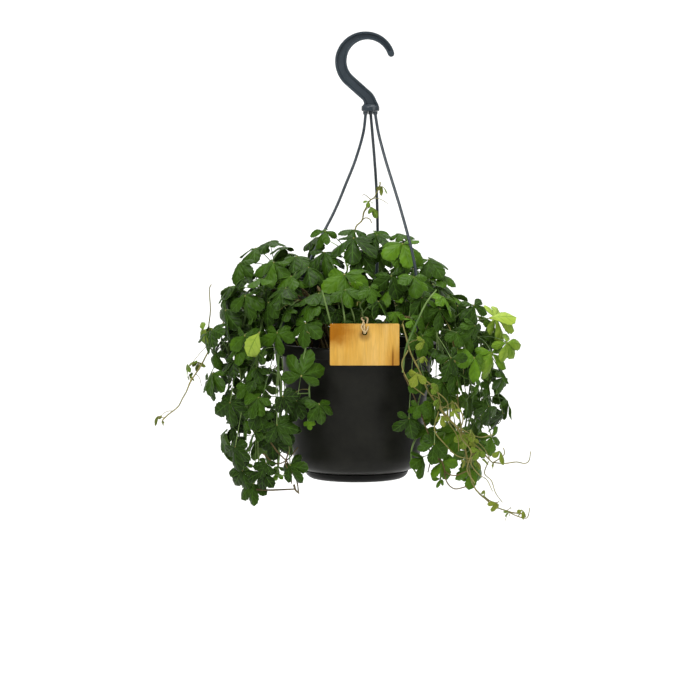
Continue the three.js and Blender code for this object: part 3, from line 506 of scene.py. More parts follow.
def makeSoil():
    s = soilShape
    side = potShape["wall"] + s["gap"]
    edge = wallRadius(s["z"]) - side - 0.3
    footRadius, footZ = s["foot"]
    profile = [[0, footZ + s["gap"]], [footRadius, footZ + s["gap"]], s["shoulder"],
               [potShape["bottom"] - side - 0.2, potShape["bottomZ"]], [edge, s["z"]]]
    profile += [[edge * (1 - i / 14), s["z"] + s["crown"] * math.sin(math.pi / 2 * i / 14)]
                for i in range(1, 15)]
    bm = bmesh.new()
    spinProfile(bm, profile, 72)
    for vert in bm.verts:
        if vert.co.z > s["z"] + 0.05:
            reach = min(1.0, (edge - vert.co.xy.length) / 6)
            vert.co.z += s["heave"] * reach * noise.fractal(vert.co * s["heaveScale"],
                                                             0.8, 2.1, 4)
    draw = seeded(71)
    for i in range(s["crumbs"]):
        # crumbs of peat, with some chips of bark and grains of perlite
        kind = next(draw)
        size = s["crumb"][0] + s["crumb"][1] * next(draw)
        spot = polar(edge * 0.96 * math.sqrt(next(draw)), 360 * next(draw),
                     s["z"] + s["crown"] + 0.2)
        crumb = bmesh.ops.create_icosphere(bm, subdivisions=1, radius=size)["verts"]
        flat = s["barkFlat"] if kind > s["barkAbove"] else s["crumbFlat"]
        bmesh.ops.scale(bm, vec=flat, verts=crumb)
        turn = (Matrix.Rotation(6.28 * next(draw), 3, "Z")
                @ Matrix.Rotation(0.7 * next(draw), 3, "X"))
        bmesh.ops.rotate(bm, cent=(0, 0, 0), matrix=turn, verts=crumb)
        spot[2] -= s["crown"] * (np.hypot(spot[0], spot[1]) / edge) ** 2
        bmesh.ops.translate(bm, vec=spot, verts=crumb)
        bark, grain = kind > s["barkAbove"], kind > s["perliteAbove"]
        paintFaces(crumb, 1 if bark else 2 if grain else 0)
    keepPiece("potting_soil", bm, fromRim, soilMaterials, "soil", 25)


makePot()
makeTray()
makeSoil()
print("pot, tray and soil made")


# the hanger: a channel-section hook with a round flange, and three stiff strands

hookShape = {
    "bow": 25.5, "bowX": -0.9, "neck": 14.0, "neckX": -10.8, "neckZ": -65.5, "turn": 48,
    "tipAngle": 18, "neckWidth": 13.0, "flare": 3.0, "bowWidth": 11.5, "seatWidth": 8.0,
    "tipWidth": 6.6, "noseReach": 0.55, "noseTurns": (25, 45, 62, 76), "depth": 9.0, "edge": 1.9,
    "pocket": 2.8, "pocketSteps": ((0.5, 0.68), (0.55, 0.32)), "bevel": 0.5,
}
flange = {"x": 3.0, "radius": 9.0, "top": -65.9, "bottom": -70.9, "round": 0.9, "crown": (6.6, 1.5)}


def bowWidthAt(degrees):
    s = hookShape
    if degrees > 170:
        return s["bowWidth"]
    if degrees > 90:
        return s["seatWidth"] + (s["bowWidth"] - s["seatWidth"]) * (degrees - 90) / 80
    share = (s["seatWidth"] - s["tipWidth"]) * (degrees - s["tipAngle"]) / (90 - s["tipAngle"])
    return s["tipWidth"] + share


def hookSpine():
    # [x, z, width] from the foot in the flange, up the neck and its straight, and
    # round the bow to the blunt nose
    s = hookShape
    spine = [(s["neckX"] + s["neck"], flange["top"] - 1.0, s["neckWidth"] + s["flare"] + 0.6)]

    def onArc(x, z, radius, degrees, width):
        angle = math.radians(degrees)
        return x + radius * math.cos(angle), z + radius * math.sin(angle), width

    for i in range(13):
        degrees = s["turn"] * i / 12
        width = s["neckWidth"] - (s["neckWidth"] - s["bowWidth"]) * i / 12
        width += s["flare"] * math.exp(-(degrees / 9) ** 2)
        spine.append(onArc(s["neckX"], s["neckZ"], s["neck"], degrees, width))
    bowZ = -(s["bow"] - s["seatWidth"] / 2)
    start = 180 + s["turn"]
    bow = []
    for i in range(49):
        degrees = start - (start - s["tipAngle"]) * i / 48
        bow.append(onArc(s["bowX"], bowZ, s["bow"], degrees, bowWidthAt(degrees)))
    straightStart, straightEnd = np.array(spine[-1]), np.array(bow[0])
    spine += [tuple(straightStart + (straightEnd - straightStart) * i / 9) for i in range(1, 9)]
    spine += bow
    x, z, width = spine[-1]
    for degrees in s["noseTurns"]:
        turn = math.radians(degrees)
        spine.append(onArc(x, z, width * s["noseReach"] * math.sin(turn), s["tipAngle"] - 90,
                           width * math.cos(turn)))
    return spine


def thicken(bm, depth):
    # a plate from flat faces, towards the front
    grown = bmesh.ops.extrude_face_region(bm, geom=bm.faces[:])["geom"]
    moved = [part for part in grown if isinstance(part, bmesh.types.BMVert)]
    bmesh.ops.translate(bm, vec=(0, -depth, 0), verts=moved)
    bmesh.ops.recalc_face_normals(bm, faces=bm.faces)


def makeHook():
    s = hookShape
    spine = hookSpine()
    bm = bmesh.new()
    bmesh.ops.create_grid(bm, x_segments=3, y_segments=len(spine) - 1, size=0.5)
    bm.verts.ensure_lookup_table()
    for row, (x, z, width) in enumerate(spine):
        before, after = spine[max(row - 1, 0)], spine[min(row + 1, len(spine) - 1)]
        run = Vector((after[0] - before[0], after[1] - before[1])).normalized()
        inner = max(width / 2 - s["edge"], width * 0.2)
        for column, offset in enumerate((-width / 2, -inner, inner, width / 2)):
            bm.verts[row * 4 + column].co = (x + run.y * offset, s["depth"] / 2, z - run.x * offset)
    thicken(bm, s["depth"])
    for side in (-1, 1):
        # the channel on each side, let in by two steps so that its floor is dished
        channel = []
        for face in bm.faces:
            if side * face.normal.y < 0.9:
                continue
            centre = face.calc_center_median().xz
            away = [(centre - Vector(place[:2])).length for place in spine]
            nearest = away.index(min(away))
            if (0 < nearest < len(spine) - 6
                    and away[nearest] < spine[nearest][2] / 2 - s["edge"]):
                channel.append(face)
        for inset, depth in s["pocketSteps"]:
            bmesh.ops.inset_region(bm, faces=channel, use_boundary=True, use_even_offset=True,
                                   thickness=inset, depth=-s["pocket"] * depth)
    bevelSharp(bm, 50, s["bevel"], 3)
    f = flange
    crownRadius, crown = f["crown"]
    rounded = [[0, f["bottom"]], [f["radius"] - 0.6, f["bottom"]]]
    for z, start, end in ((f["bottom"] + f["round"], -70, 0), (f["top"] - f["round"], 0, 80)):
        rounded += arcPoints((f["radius"] - f["round"], z), f["round"], start, end, 3)
    rounded += [[crownRadius, f["top"] + crown], [0, f["top"] + crown]]
    spinProfile(bm, rounded, 56, (f["x"], 0, 0))
    keepPiece("hook", bm, fromHook, [hangerPlastic], "hanger_hook", 42)


strand = {
    "radius": 1.5, "flangeRadius": 5.2, "backSway": 6.0, "endZ": -4.0,
    "topShift": {"left": 0.0, "back": -1.0, "right": 0.9},
    "barb": [[0, -8], [0.9, -7.6], [2.2, -3.7], [2.2, -2.6], [0, -2.6]],
    "collar": [[0, 0.3], [2.7, 0.3], [2.8, 0.8], [2.7, 2.2], [2.0, 6], [1.7, 9], [0, 9]],
    "socket": [[0, -3.4], [1.8, -3.4], [2.3, -2.6], [2.5, 0.1], [0, 0.1]],
}
# how far out and down each strand is, as shares of its whole run
strandBows = {
    "left": [(0, 0), (0, 0.02), (0.03, 0.1), (0.12, 0.21), (0.23, 0.31), (0.37, 0.43),
             (0.61, 0.6), (0.82, 0.78), (0.99, 0.92), (1, 0.97)],
    "back": [(0, 0), (0, 0.02), (0.05, 0.1), (0.17, 0.21), (0.31, 0.31), (0.47, 0.43),
             (0.7, 0.6), (0.88, 0.78), (0.99, 0.92), (1, 0.97)],
    "right": [(0, 0), (0.01, 0.02), (0.09, 0.1), (0.26, 0.21), (0.44, 0.31), (0.65, 0.43),
              (0.91, 0.6), (1.03, 0.74), (1.01, 0.9), (1, 0.97)],
}
rimZ = potAxis.z * 1000
potAxisX = potAxis.x * 1000


def smoothCurve(route):
    # a curve through the route's points, each stretch led by its neighbours
    points = [np.asarray(p, float) for p in route]
    points = [2 * points[0] - points[1], *points, 2 * points[-1] - points[-2]]

    def at(share):
        place = share * (len(points) - 3)
        i = min(int(math.floor(place)), len(points) - 4)
        t = place - i
        before, start, end, after = points[i:i + 4]
        first = 0.5 * (end - before)
        last = 0.5 * (after - start)
        return (start + first * t + (-3 * start + 3 * end - 2 * first - last) * t ** 2
                + (2 * start - 2 * end + first + last) * t ** 3)

    return at


def pointsOn(curve, steps):
    return [curve(i / steps) for i in range(steps + 1)]


def strandRoute(side):
    angle = lugs["angles"][side]
    top = polar(strand["flangeRadius"], angle, flange["bottom"] - 0.3 - rimZ)
    top[0] += flange["x"] - potAxisX + strand["topShift"][side]
    end = polar(lugs["radius"], angle)
    route = []
    for out, down in strandBows[side]:
        sway = strand["backSway"] * math.sin(math.pi * down) if side == "back" else 0
        route.append(np.array((top[0] + (end[0] - top[0]) * out + sway,
                               top[1] + (end[1] - top[1]) * out, top[2] * (1 - down))))
    return route + [np.array((end[0], end[1], strand["endZ"]))]


def makeStrand(side):
    route = strandRoute(side)
    points = pointsOn(smoothCurve(route), 60)
    foot = polar(lugs["radius"], lugs["angles"][side])
    bm = bmesh.new()
    addTubes(bm, [(points, [strand["radius"]] * len(points), 0)], 4)
    # the barb under the rim, the collar on it and the socket under the flange
    for part, steps, place in (("barb", 20, foot), ("collar", 24, foot), ("socket", 24, route[0])):
        spinProfile(bm, strand[part], steps, place)
    keepPiece("strand_" + side, bm, fromRim, [hangerPlastic], "hanger_strand_" + side, 50)


makeHook()
for side in strandBows:
    makeStrand(side)
print("hanger made")


# the wooden tag and the twine that ties it to a stem

tag = {"width": 68.0, "height": 41.0, "thickness": 2.0, "x": 7.7, "back": -83.4, "top": 25.4,
       "hole": 2.5, "holeDrop": 9.0, "corner": 1.2, "bevel": 0.22}
twine = {"ply": 0.5, "plyOut": 0.42, "turns": 22, "loosePly": 0.48, "looseOut": 0.34,
         "looseTurns": 5, "knotPly": 0.55, "knot": (1.0, 0.75, 1.05)}
tagHoleZ = tag["top"] - tag["holeDrop"]


def makeTag():
    halfWidth, halfHeight = tag["width"] / 2, tag["height"] / 2
    centre = Vector((tag["x"], tag["back"], tag["top"] - halfHeight))
    bm = bmesh.new()
    ring = bmesh.ops.create_circle(bm, segments=32, radius=tag["hole"])["verts"]
    bmesh.ops.rotate(bm, cent=(0, 0, 0), matrix=Matrix.Rotation(math.pi / 2, 3, "X"), verts=ring)
    bmesh.ops.translate(bm, vec=(tag["x"], tag["back"], tagHoleZ), verts=ring)
    board = []
    reach = tag["corner"]
    for signX, signZ, start in ((1, 1, 0), (-1, 1, 90), (-1, -1, 180), (1, -1, 270)):
        middle = (signX * (halfWidth - reach), signZ * (halfHeight - reach))
        corner = arcPoints(middle, reach, start, start + 90, 3)
        board += [bm.verts.new(centre + Vector((x, 0, z))) for x, z in corner]
    edges = [bm.edges.new(pair) for pair in zip(board, board[1:] + board[:1])]
    hole = list({edge for vert in ring for edge in vert.link_edges})
    bmesh.ops.bridge_loops(bm, edges=edges + hole)
    thicken(bm, tag["thickness"])
    bevelSharp(bm, 60, tag["bevel"], 2)
    keepPiece("wooden_tag", bm, fromRim, [tagWood], "tag", 35)


def tieRoute():
    x, back, top = tag["x"], tag["back"], tag["top"]
    front = back - tag["thickness"] - 1.1
    behind = back + 1.2
    return [
        (x, back - 1, tagHoleZ), (x, front, tagHoleZ + 2), (x - 0.4, front, top - 2),
        (x - 1, back - 1.6, top + 2.2), (x - 2.8, -79.8, top + 4.4), (x - 1, -75.2, top + 5.2),
        (x + 2.8, -76.8, top + 4.6), (x + 2.6, -81.6, top + 1.4), (x + 0.5, behind, tagHoleZ + 3),
        (x + 0.2, back + 0.6, tagHoleZ + 0.6),
    ]


def twisted(route, steps, turns, reach, phase):
    # one ply that winds round the route
    curve = smoothCurve(route)
    points = []
    for i in range(steps + 1):
        here = curve(i / steps)
        run = curve(min(1, i / steps + 0.01)) - curve(max(0, i / steps - 0.01))
        run /= np.linalg.norm(run)
        out = np.cross(run, (0.3, 0.2, 0.93))
        out /= np.linalg.norm(out)
        angle = phase + 2 * math.pi * turns * i / steps
        points.append(here + reach * (out * math.cos(angle) + np.cross(run, out) * math.sin(angle)))
    return points


def makeTie():
    s = twine
    # the loose ends start from the front of the hole
    x, y, z = tag["x"], tag["back"] - tag["thickness"], tagHoleZ
    loose = [
        [(x, y - 0.8, z + 1), (x - 2.2, y - 1.7, z + 3.6), (x - 3, y - 1.4, z + 6.5),
         (x - 1.6, y - 0.9, z + 9.6), (x - 0.8, y + 0.3, z + 12.6)],
        [(x, y - 0.8, z + 0.6), (x + 2.2, y - 1.5, z + 2.4), (x + 3.0, y - 1.3, z + 4.4),
         (x + 3.4, y - 0.9, z + 6.6)],
    ]
    knotX, knotY, knotZ = s["knot"]
    tubes = []
    for phase in (0, math.pi):
        lines = [(twisted(tieRoute(), 130, s["turns"], s["plyOut"], phase), s["ply"])]
        lines += [(twisted(route, 40, s["looseTurns"], s["looseOut"], phase), s["loosePly"])
                  for route in loose]
        knot = [np.array((x, y + 0.4, z + 0.4))
                + np.array((knotX * math.cos(a + phase), knotY * math.sin(2 * a + phase) - 0.3,
                            knotZ * math.sin(a))) for a in np.linspace(0, 2 * math.pi, 25)]
        lines.append((knot, s["knotPly"]))
        tubes += [(points, [radius] * len(points), 0) for points, radius in lines]
    bm = bmesh.new()
    addTubes(bm, tubes)
    keepPiece("twine_tie", bm, fromRim, [juteTwine], "tag_tie", 60)


makeTag()
makeTie()
print("tag and twine made")


# the plant: where its stems and leaves grow, worked out as for the plain solids

blade = {"thickness": 0.9, "droop": 0.26, "cup": 0.3, "hub": 0.12}
clearance = {"blade": 1.4, "fine": 0.5, "stem": 2.6, "stalk": 2.0, "strand": 3.2, "tag": 1.5,
             "tie": 1.8, "potToLeaf": 2.2, "potToStalk": 1.5}
rootFoot, rootNeck = soilShape["z"] - 14.0 + 1, soilShape["z"] + 8
rootOut, crestOut = 34, 74


def trailing(angle, lean, peak, reach, drop):
    # from its root over the rim, through its peak, and down outside the pot
    high = peak * 0.6
    return [
        polar(rootOut, angle, rootFoot), polar(rootOut, angle, rootNeck),
        polar(52, angle, peak * 0.7), polar(crestOut, angle + lean * 0.3, peak),
        polar((crestOut + reach) / 2 + 4, angle + lean * 0.5, high + 6),
        polar(reach, angle + lean * 0.7, high * 0.35 + drop * 0.25),
        polar(reach - 2, angle + lean, drop),
    ]


def upright(rootX, rootY, x, y, z):
    return [(rootX, rootY, rootFoot), (rootX, rootY, rootNeck),
            ((rootX * 2 + x) / 3, (rootY * 2 + y) / 3, z * 0.45), (x, y, z)]


# each leafy stem: name, route, plain leaves that grow by rule, leaflet length and
# further fine leaves
stems = [
    ("vine_front_tag", [(4, -56, -25), (4, -56, -14), (4, -57, -3), (6, -69, 14), (7.7, -78, 30),
                        (5, -82, 48), (1, -80, 66)], 2, 20, 2),
    ("vine_front_left", trailing(238, 4, 30, 99, -70), 2, 22, 10),
    ("vine_left_1", trailing(223, -2, 46, 103, -124), 2, 22, 17),
    ("vine_left_2", trailing(209, 0, 58, 112, -132), 2, 24, 20),
    ("vine_left_3", trailing(195, -2, 62, 120, -100), 1, 24, 20),
    ("vine_left_4", trailing(181, 2, 54, 128, -66), 2, 23, 17),
    ("vine_left_5", trailing(167, -3, 62, 118, -128), 3, 23, 20),
    ("vine_back_left_1", trailing(152, 3, 52, 124, -90), 3, 24, 17),
    ("vine_back_left_2", trailing(138, -3, 64, 112, -134), 3, 23, 20),
    ("vine_back_1", trailing(123, 3, 50, 120, -78), 2, 24, 17),
    ("vine_back_2", trailing(109, -3, 62, 108, -122), 2, 23, 17),
    ("vine_back_3", trailing(94, 3, 48, 118, -96), 2, 24, 17),
    ("vine_back_4", trailing(66, -3, 62, 110, -134), 2, 23, 20),
    ("vine_back_right_1", trailing(51, 3, 40, 122, -84), 2, 24, 17),
    ("vine_back_right_2", trailing(36, -3, 48, 114, -120), 3, 23, 17),
    ("vine_right_1", trailing(21, 3, 36, 124, -92), 3, 23, 17),
    ("vine_right_2", trailing(7, -2, 46, 118, -132), 3, 23, 20),
    ("vine_right_3", trailing(353, 2, 40, 128, -84), 2, 22, 17),
    ("vine_right_4", trailing(338, -2, 48, 120, -124), 1, 23, 20),
    ("vine_right_5", trailing(326, -2, 46, 106, -130), 2, 22, 20),
    ("vine_front_right", trailing(306, 2, 30, 98, -76), 2, 19, 13),
    ("vine_top_front", upright(-16, -50, -16, -54, 66), 1, 23, 6),
    ("vine_top_centre", upright(-4, -26, -6, -24, 96), 2, 26, 6),
    ("vine_top_left", upright(-46, -20, -72, -28, 68), 2, 24, 7),
    ("vine_top_far_left", upright(-52, 4, -84, 6, 82), 2, 24, 6),
    ("vine_top_right", upright(28, -28, 42, -26, 88), 2, 24, 7),
    ("vine_top_far_right", upright(54, -4, 74, -8, 62), 2, 23, 7),
    ("vine_top_back", upright(-4, 42, -8, 52, 94), 2, 26, 6),
    ("vine_top_back_left", upright(-36, 30, -50, 44, 82), 3, 25, 6),
    ("vine_top_back_right", upright(32, 32, 48, 44, 80), 3, 25, 6),
    ("shoot_left", [(-58, 14, -25), (-58, 14, -15), (-59, 14, -4), (-88, 14, 34), (-126, 8, 26),
                    (-150, 2, -12), (-166, -4, -42), (-178, -6, -62), (-194, -8, -78)], 2, 10, 2),
    ("shoot_top", [(10, 6, -25), (10, 6, -15), (10, 6, -4), (4, 4, 50), (-2, 0, 106), (4, 0, 122),
                   (12, -2, 138), (18, -2, 147), (25, -2, 160)], 2, 11, 2),
    ("shoot_right", [(34, -48, -25), (34, -48, -15), (34, -49, -4), (44, -72, 24), (52, -92, 2),
                     (68, -90, -38), (90, -80, -68), (116, -66, -96), (136, -52, -116)], 4, 15, 10),
    ("shoot_low", [(48, -26, -25), (48, -26, -15), (49, -27, -4), (76, -40, 34), (96, -58, 4),
                   (100, -62, -60), (112, -64, -128), (132, -58, -154), (150, -54, -164),
                   (166, -52, -166)], 3, 11, 6),
]
stemSteps = {"shoot": 11, "vine_top": 4, "vine": 7}
stemTurns = (0, 2, -2, 4, -4, 6, -6, 9, -9)
stemSway = {"shoot": 1.6, "vine_top": 4.0, "vine": 4.0}

# the leaves that show in front, in the order that they are placed in: stem, hub,
# leaflet length, the compass angle and rise of the face, its turn, and its tone from
# dark to light
frontLeaves = [
    ("vine_front_left", -50, -91, -28, 30, 262, 2, 152, 0.42),
    ("vine_front_left", -62, -85, -52, 21, 246, 15, -20, 0.2),
    ("vine_front_left", -50, -86, 26, 23, 256, 30, -10, 0.4),
    ("vine_left_1", -78, -78, 16, 22, 246, 18, 10, 0.5),
    ("vine_left_1", -90, -66, -44, 22, 228, 20, 20, 0.35),
    ("vine_left_1", -82, -71, -90, 24, 236, 12, -10, 0.2),
    ("vine_left_1", -68, -76, -118, 22, 240, 8, 14, 0.3),
    ("vine_left_2", -102, -52, -136, 24, 232, 25, -46, 0.35),
    ("vine_left_2", -120, -56, -99, 24, 222, 4, 0, 0.2),
    ("vine_left_3", -124, -50, -56, 26, 238, 15, -14, 0.22),
    ("vine_left_2", -110, -66, 12, 25, 240, 12, 4, 0.45),
    ("vine_left_3", -110, -52, 50, 26, 236, 28, 18, 0.36),
    ("vine_left_3", -130, -30, 34, 28, 216, 18, -8, 0.28),
    ("vine_left_4", -150, -12, 10, 20, 206, 20, 0, 0.35),
    ("vine_left_4", -148, -16, -36, 22, 214, 10, 12, 0.3),
    ("vine_top_left", -82, -36, 82, 26, 230, 56, 0, 0.45),
    ("vine_top_far_left", -101, 0, 94, 26, 200, 60, 0, 0.4),
    ("vine_top_centre", -3, -32, 106, 32, 264, 60, 0, 0.25),
    ("vine_top_front", -12, -64, 72, 30, 266, 40, 0, 0.6),
    ("vine_top_right", 45, -36, 100, 30, 286, 56, 0, 0.65),
    ("vine_top_right", 34, -56, 70, 25, 278, 24, 8, 0.28),
    ("vine_top_far_right", 72, -22, 84, 24, 304, 58, 16, 0.4),
    ("vine_right_5", 82, -62, 38, 24, 298, 24, 0, 0.4),
    ("vine_front_right", 66, -84, 14, 22, 288, 20, 0, 0.52),
    ("vine_right_4", 110, -48, 12, 22, 300, 14, 0, 0.5),
    ("vine_right_4", 116, -42, 40, 22, 312, 26, 0, 0.3),
    ("vine_right_3", 138, -16, 26, 28, 300, 36, 78, 0.92),
    ("vine_right_3", 134, -38, -8, 26, 306, 14, 0, 0.78),
    ("vine_right_3", 146, -16, -34, 20, 324, 10, 0, 0.35),
    ("vine_right_4", 128, -50, -58, 22, 306, 14, 0, 0.3),
    ("vine_right_3", 146, -14, -70, 24, 334, 5, 0, 0.15),
    ("vine_front_right", 50, -86, -66, 20, 284, 6, 0, 0.3),
    ("vine_right_5", 86, -76, -34, 22, 296, 10, 0, 0.45),
    ("vine_right_5", 100, -64, -84, 22, 300, 10, 0, 0.62),
    ("vine_right_4", 116, -54, -122, 22, 302, 14, 0, 0.6),
]

# finer leaves listed one by one: over the strands and the top of the mound, and the pale
# under sides and single leaflets that show at the edges
fineLeaves = [
    ("vine_top_front", -32, -34, 92, 25, 256, 62, 10, 0.3),
    ("vine_top_left", -50, -46, 74, 24, 246, 58, -14, 0.26),
    ("vine_top_left", -58, -20, 88, 23, 236, 64, 20, 0.34),
    ("vine_top_centre", 20, -16, 108, 22, 272, 66, -20, 0.3),
    ("vine_top_right", 31, -16, 100, 24, 284, 70, 14, 0.36),
    ("vine_front_right", 56, -70, 70, 22, 286, 46, -10, 0.5),
    ("vine_top_far_right", 64, -70, 50, 22, 292, 34, 16, 0.36),
    ("vine_top_far_left", -118, -20, 78, 22, 206, 62, 20, 0.32),
    ("vine_left_2", -98, -92, 20, 31, 262, -6, -20, 0.97),
    ("vine_right_3", 132, -33, 27, 31, 280, 48, 106, 0.97),
    ("vine_right_3", 141, -34, 4, 23, 304, 2, 10, 0.84),
    ("vine_right_5", 92, -86, -8, 21, 290, 14, 30, 0.3),
    ("vine_front_right", 72, -92, -30, 20, 284, 12, -24, 0.42),
    ("vine_right_5", 76, -88, -92, 21, 282, 16, -14, 0.36),
    ("vine_left_1", -78, -88, -74, 22, 252, 10, 26, 0.3),
    ("vine_left_1", -96, -76, -62, 22, 238, 26, -30, 0.26),
    ("vine_top_centre", -3, -10, 113, 20, 266, 72, 0, 0.3),
    ("vine_top_centre", 12, -6, 114, 17, 274, 70, 30, 0.5),
    ("vine_top_right", 42, -6, 109, 18, 284, 74, 40, 0.42),
    ("vine_top_centre", -22, -26, 102, 18, 250, 66, -30, 0.4),
    ("vine_top_far_left", -92, -8, 98, 20, 250, 74, 60, 0.3),
    ("shoot_left", -153, 4, 13, 19, 232, 8, -26, 0.35),
    ("shoot_left", -157, -6, -4, 12, 224, 12, 10, 0.45),
    ("shoot_left", -166, 2, -28, 13, 222, 4, -40, 0.2),
    ("vine_left_4", -141, -16, -10, 18, 226, 14, -30, 0.4),
    ("vine_left_2", -113, -50, -124, 22, 240, 14, -34, 0.3),
    ("vine_right_4", 134, -34, -92, 21, 306, 8, 12, 0.55),
]

leafKinds = {
    "broad": {"angles": [-118, -58, 0, 58, 118], "lengths": [0.7, 0.92, 1, 0.92, 0.7]},
    "small": {"angles": [-112, -56, 0, 56, 112], "lengths": [0.68, 0.9, 1, 0.9, 0.68]},
    "young": {"angles": [-62, 0, 62], "lengths": [0.8, 1, 0.8]},
    "single": {"angles": [0], "lengths": [1]},
}
largeLeaf = 30
paleTone = 0.95


def unit(vector):
    return vector / np.linalg.norm(vector)


def compass(place):
    return math.degrees(math.atan2(place[1], place[0]))


def facing(azimuth, rise, turn):
    face = polar(1, azimuth) * math.cos(math.radians(rise))
    face[2] = math.sin(math.radians(rise))
    along = unit(-up + face * face[2])
    angle = math.radians(turn)
    along = along * math.cos(angle) + np.cross(face, along) * math.sin(angle)
    return {"face": face, "along": along, "side": np.cross(along, face)}


def leafPoint(leaf, angle, length, along, across):
    turn = math.radians(angle)
    reach = leaf["size"] * length
    forward = reach * (along * math.cos(turn) - across * math.sin(turn))
    sideways = reach * (along * math.sin(turn) + across * math.cos(turn))
    height = -reach * (blade["droop"] * along * along + blade["cup"] * abs(across))
    return leaf["hub"] + leaf["along"] * forward + leaf["side"] * sideways + leaf["face"] * height


# the plain outline of a leaflet, as shares of its length; the guards are a little wider
broadEdge = [(0.6, -0.27), (0.71, -0.19), (1, 0), (0.71, 0.19), (0.6, 0.27)]
plainEdge = [(0.6, -0.26), (1, 0), (0.6, 0.26)]
guardEdge = [(1, 0), (0.6, -0.27), (0.6, 0.27)]


def leafOutline(leaf):
    kind = leafKinds[leaf["kind"]]
    edge = broadEdge if leaf["kind"] == "broad" else plainEdge
    points = []
    for i, angle in enumerate(kind["angles"]):
        notch = (angle + kind["angles"][i - 1]) / 2 if i else 180
        points.append(leafPoint(leaf, notch, 1, blade["hub"], 0))
        points += [leafPoint(leaf, angle, kind["lengths"][i], a, b) for a, b in edge]
    return points


def stalkPoints(leaf):
    end = leaf["hub"] - leaf["face"] * blade["thickness"] * 0.5
    return [leaf["base"], end - leaf["along"] * leaf["size"] * blade["hub"] * 0.38]


# guards: flat triangles and edges that stand for a blade or a stretch of stem, so
# that no leaf grows through another one, a stem, a strand, the tag or the pot

mostGuards = 8000
rodTriangles = 4


class Guards:
    def __init__(self):
        self.items = []
        self.centres = np.zeros((mostGuards, 3))
        self.radii = np.zeros(mostGuards)

    def add(self, items):
        for item in items:
            self.centres[len(self.items)] = item["centre"]
            self.radii[len(self.items)] = item["radius"]
            self.items.append(item)

    def near(self, item, skipRodsOf):
        # a stalk may touch the stem that it grows from
        count = len(self.items)
        distance = np.linalg.norm(self.centres[:count] - item["centre"], axis=1)
        close = np.nonzero(distance <= self.radii[:count] + item["radius"])[0]
        return [other for other in (self.items[i] for i in close)
                if other["owner"] != skipRodsOf or len(other["triangles"]) != rodTriangles]


guards = Guards()


def guard(owner, triangles, edges):
    triangles = np.array(triangles).reshape(-1, 3, 3)
    edges = np.array(edges).reshape(-1, 2, 3)
    corners = np.concatenate([triangles.reshape(-1, 3), edges.reshape(-1, 3)])
    centre = corners.mean(0)
    radius = np.linalg.norm(corners - centre, axis=1).max()
    return {"owner": owner, "triangles": triangles, "edges": edges, "centre": centre,
            "radius": radius}


def pierces(edges, triangles):
    # whether any of the edges goes through any of the triangles
    start, corner = edges[:, None, 0], triangles[None, :, 0]
    run = edges[:, None, 1] - start
    first, other = triangles[None, :, 1] - corner, triangles[None, :, 2] - corner
    across = np.cross(run, other)
    size = (first * across).sum(-1)
    safe = np.abs(size) >= 1e-9
    size = np.where(safe, size, 1.0)
    offset = start - corner
    u = (offset * across).sum(-1) / size
    turn = np.cross(offset, first)
    v = (run * turn).sum(-1) / size
    t = (other * turn).sum(-1) / size
    inside = (u >= 0) & (u <= 1) & (v >= 0) & (u + v <= 1)
    return bool((safe & inside & (t >= 0) & (t <= 1)).any())


def isFree(item, skipRodsOf=None):
    others = guards.near(item, skipRodsOf)
    if not others:
        return True
    return not (pierces(item["edges"], np.concatenate([o["triangles"] for o in others]))
                or pierces(np.concatenate([o["edges"] for o in others]), item["triangles"]))


def bladeGuard(leaf):
    kind = leafKinds[leaf["kind"]]
    post = leaf["face"] * leaf["post"]
    hub = leaf["hub"]
    triangles, edges = [], [(hub + post, hub - 2 * post)]
    for angle, length in zip(kind["angles"], kind["lengths"]):
        tip, left, right = [leafPoint(leaf, angle, length, *place) for place in guardEdge]
        triangles += [(hub, left, tip), (hub, tip, right)]
        edges += [(hub, left), (left, tip), (tip, right), (right, hub)]
        edges += [(p + post, p - 2 * post) for p in (tip, left, right, (hub + tip) / 2)]
    return guard(leaf["owner"], triangles, edges)


def rodGuards(owner, points, radius):
    made = []
    for start, end in zip(points, points[1:]):
        start, end = np.asarray(start, float), np.asarray(end, float)
        run = unit(end - start)
        first = unit(np.cross((0.31, 0.95, 0.05), run)) * radius
        triangles, edges = [], [(start, end)]
        for width in (first, np.cross(run, first)):
            a, b, c, d = start + width, start - width, end - width, end + width
            triangles += [(a, b, c), (a, c, d)]
            edges += [(a, d), (b, c)]
        made.append(guard(owner, triangles, edges))
    return made


def clearOfPot(point, gap):
    if point[2] > 4:
        return True
    atRim = point[2] > -potShape["skirt"] - 1
    reach = potShape["rim"] if atRim else wallRadius(point[2])
    return math.hypot(point[0], point[1]) > reach + gap


def guardMadeParts():
    for side in strandBows:
        points = pointsOn(smoothCurve(strandRoute(side)), 20)
        guards.add(rodGuards("hanger", points, clearance["strand"]))
    margin = clearance["tag"]
    half = tag["width"] / 2 + margin
    bottom, top = tag["top"] - tag["height"] - margin, tag["top"] + margin
    for y in (tag["back"] + 1, tag["back"] - tag["thickness"] - 1):
        a, b, c, d = [(tag["x"] + x, y, z) for x, z in (
            (-half, bottom), (half, bottom), (half, top), (-half, top))]
        guards.add([guard("tag", [(a, b, c), (a, c, d)], [(a, b), (b, c), (c, d), (d, a)])])
    guards.add(rodGuards("tie", tieRoute(), clearance["tie"]))


def wandering(curve, seed, reach):
    # a stem is never quite even: past its foot it sways a little
    draw = seeded(seed)
    phases = [2 * math.pi * next(draw) for _ in range(4)]

    def at(share):
        free = reach * min(1.0, max(0.0, (share - 0.12) / 0.2))
        sway = [0.65 * math.sin(slow * share + phases[i])
                + 0.35 * math.sin(fast * share + phases[i + 1])
                for i, slow, fast in ((0, 23, 57), (2, 27, 49))]
        return curve(share) + free * np.array((*sway, 0.0))

    return at


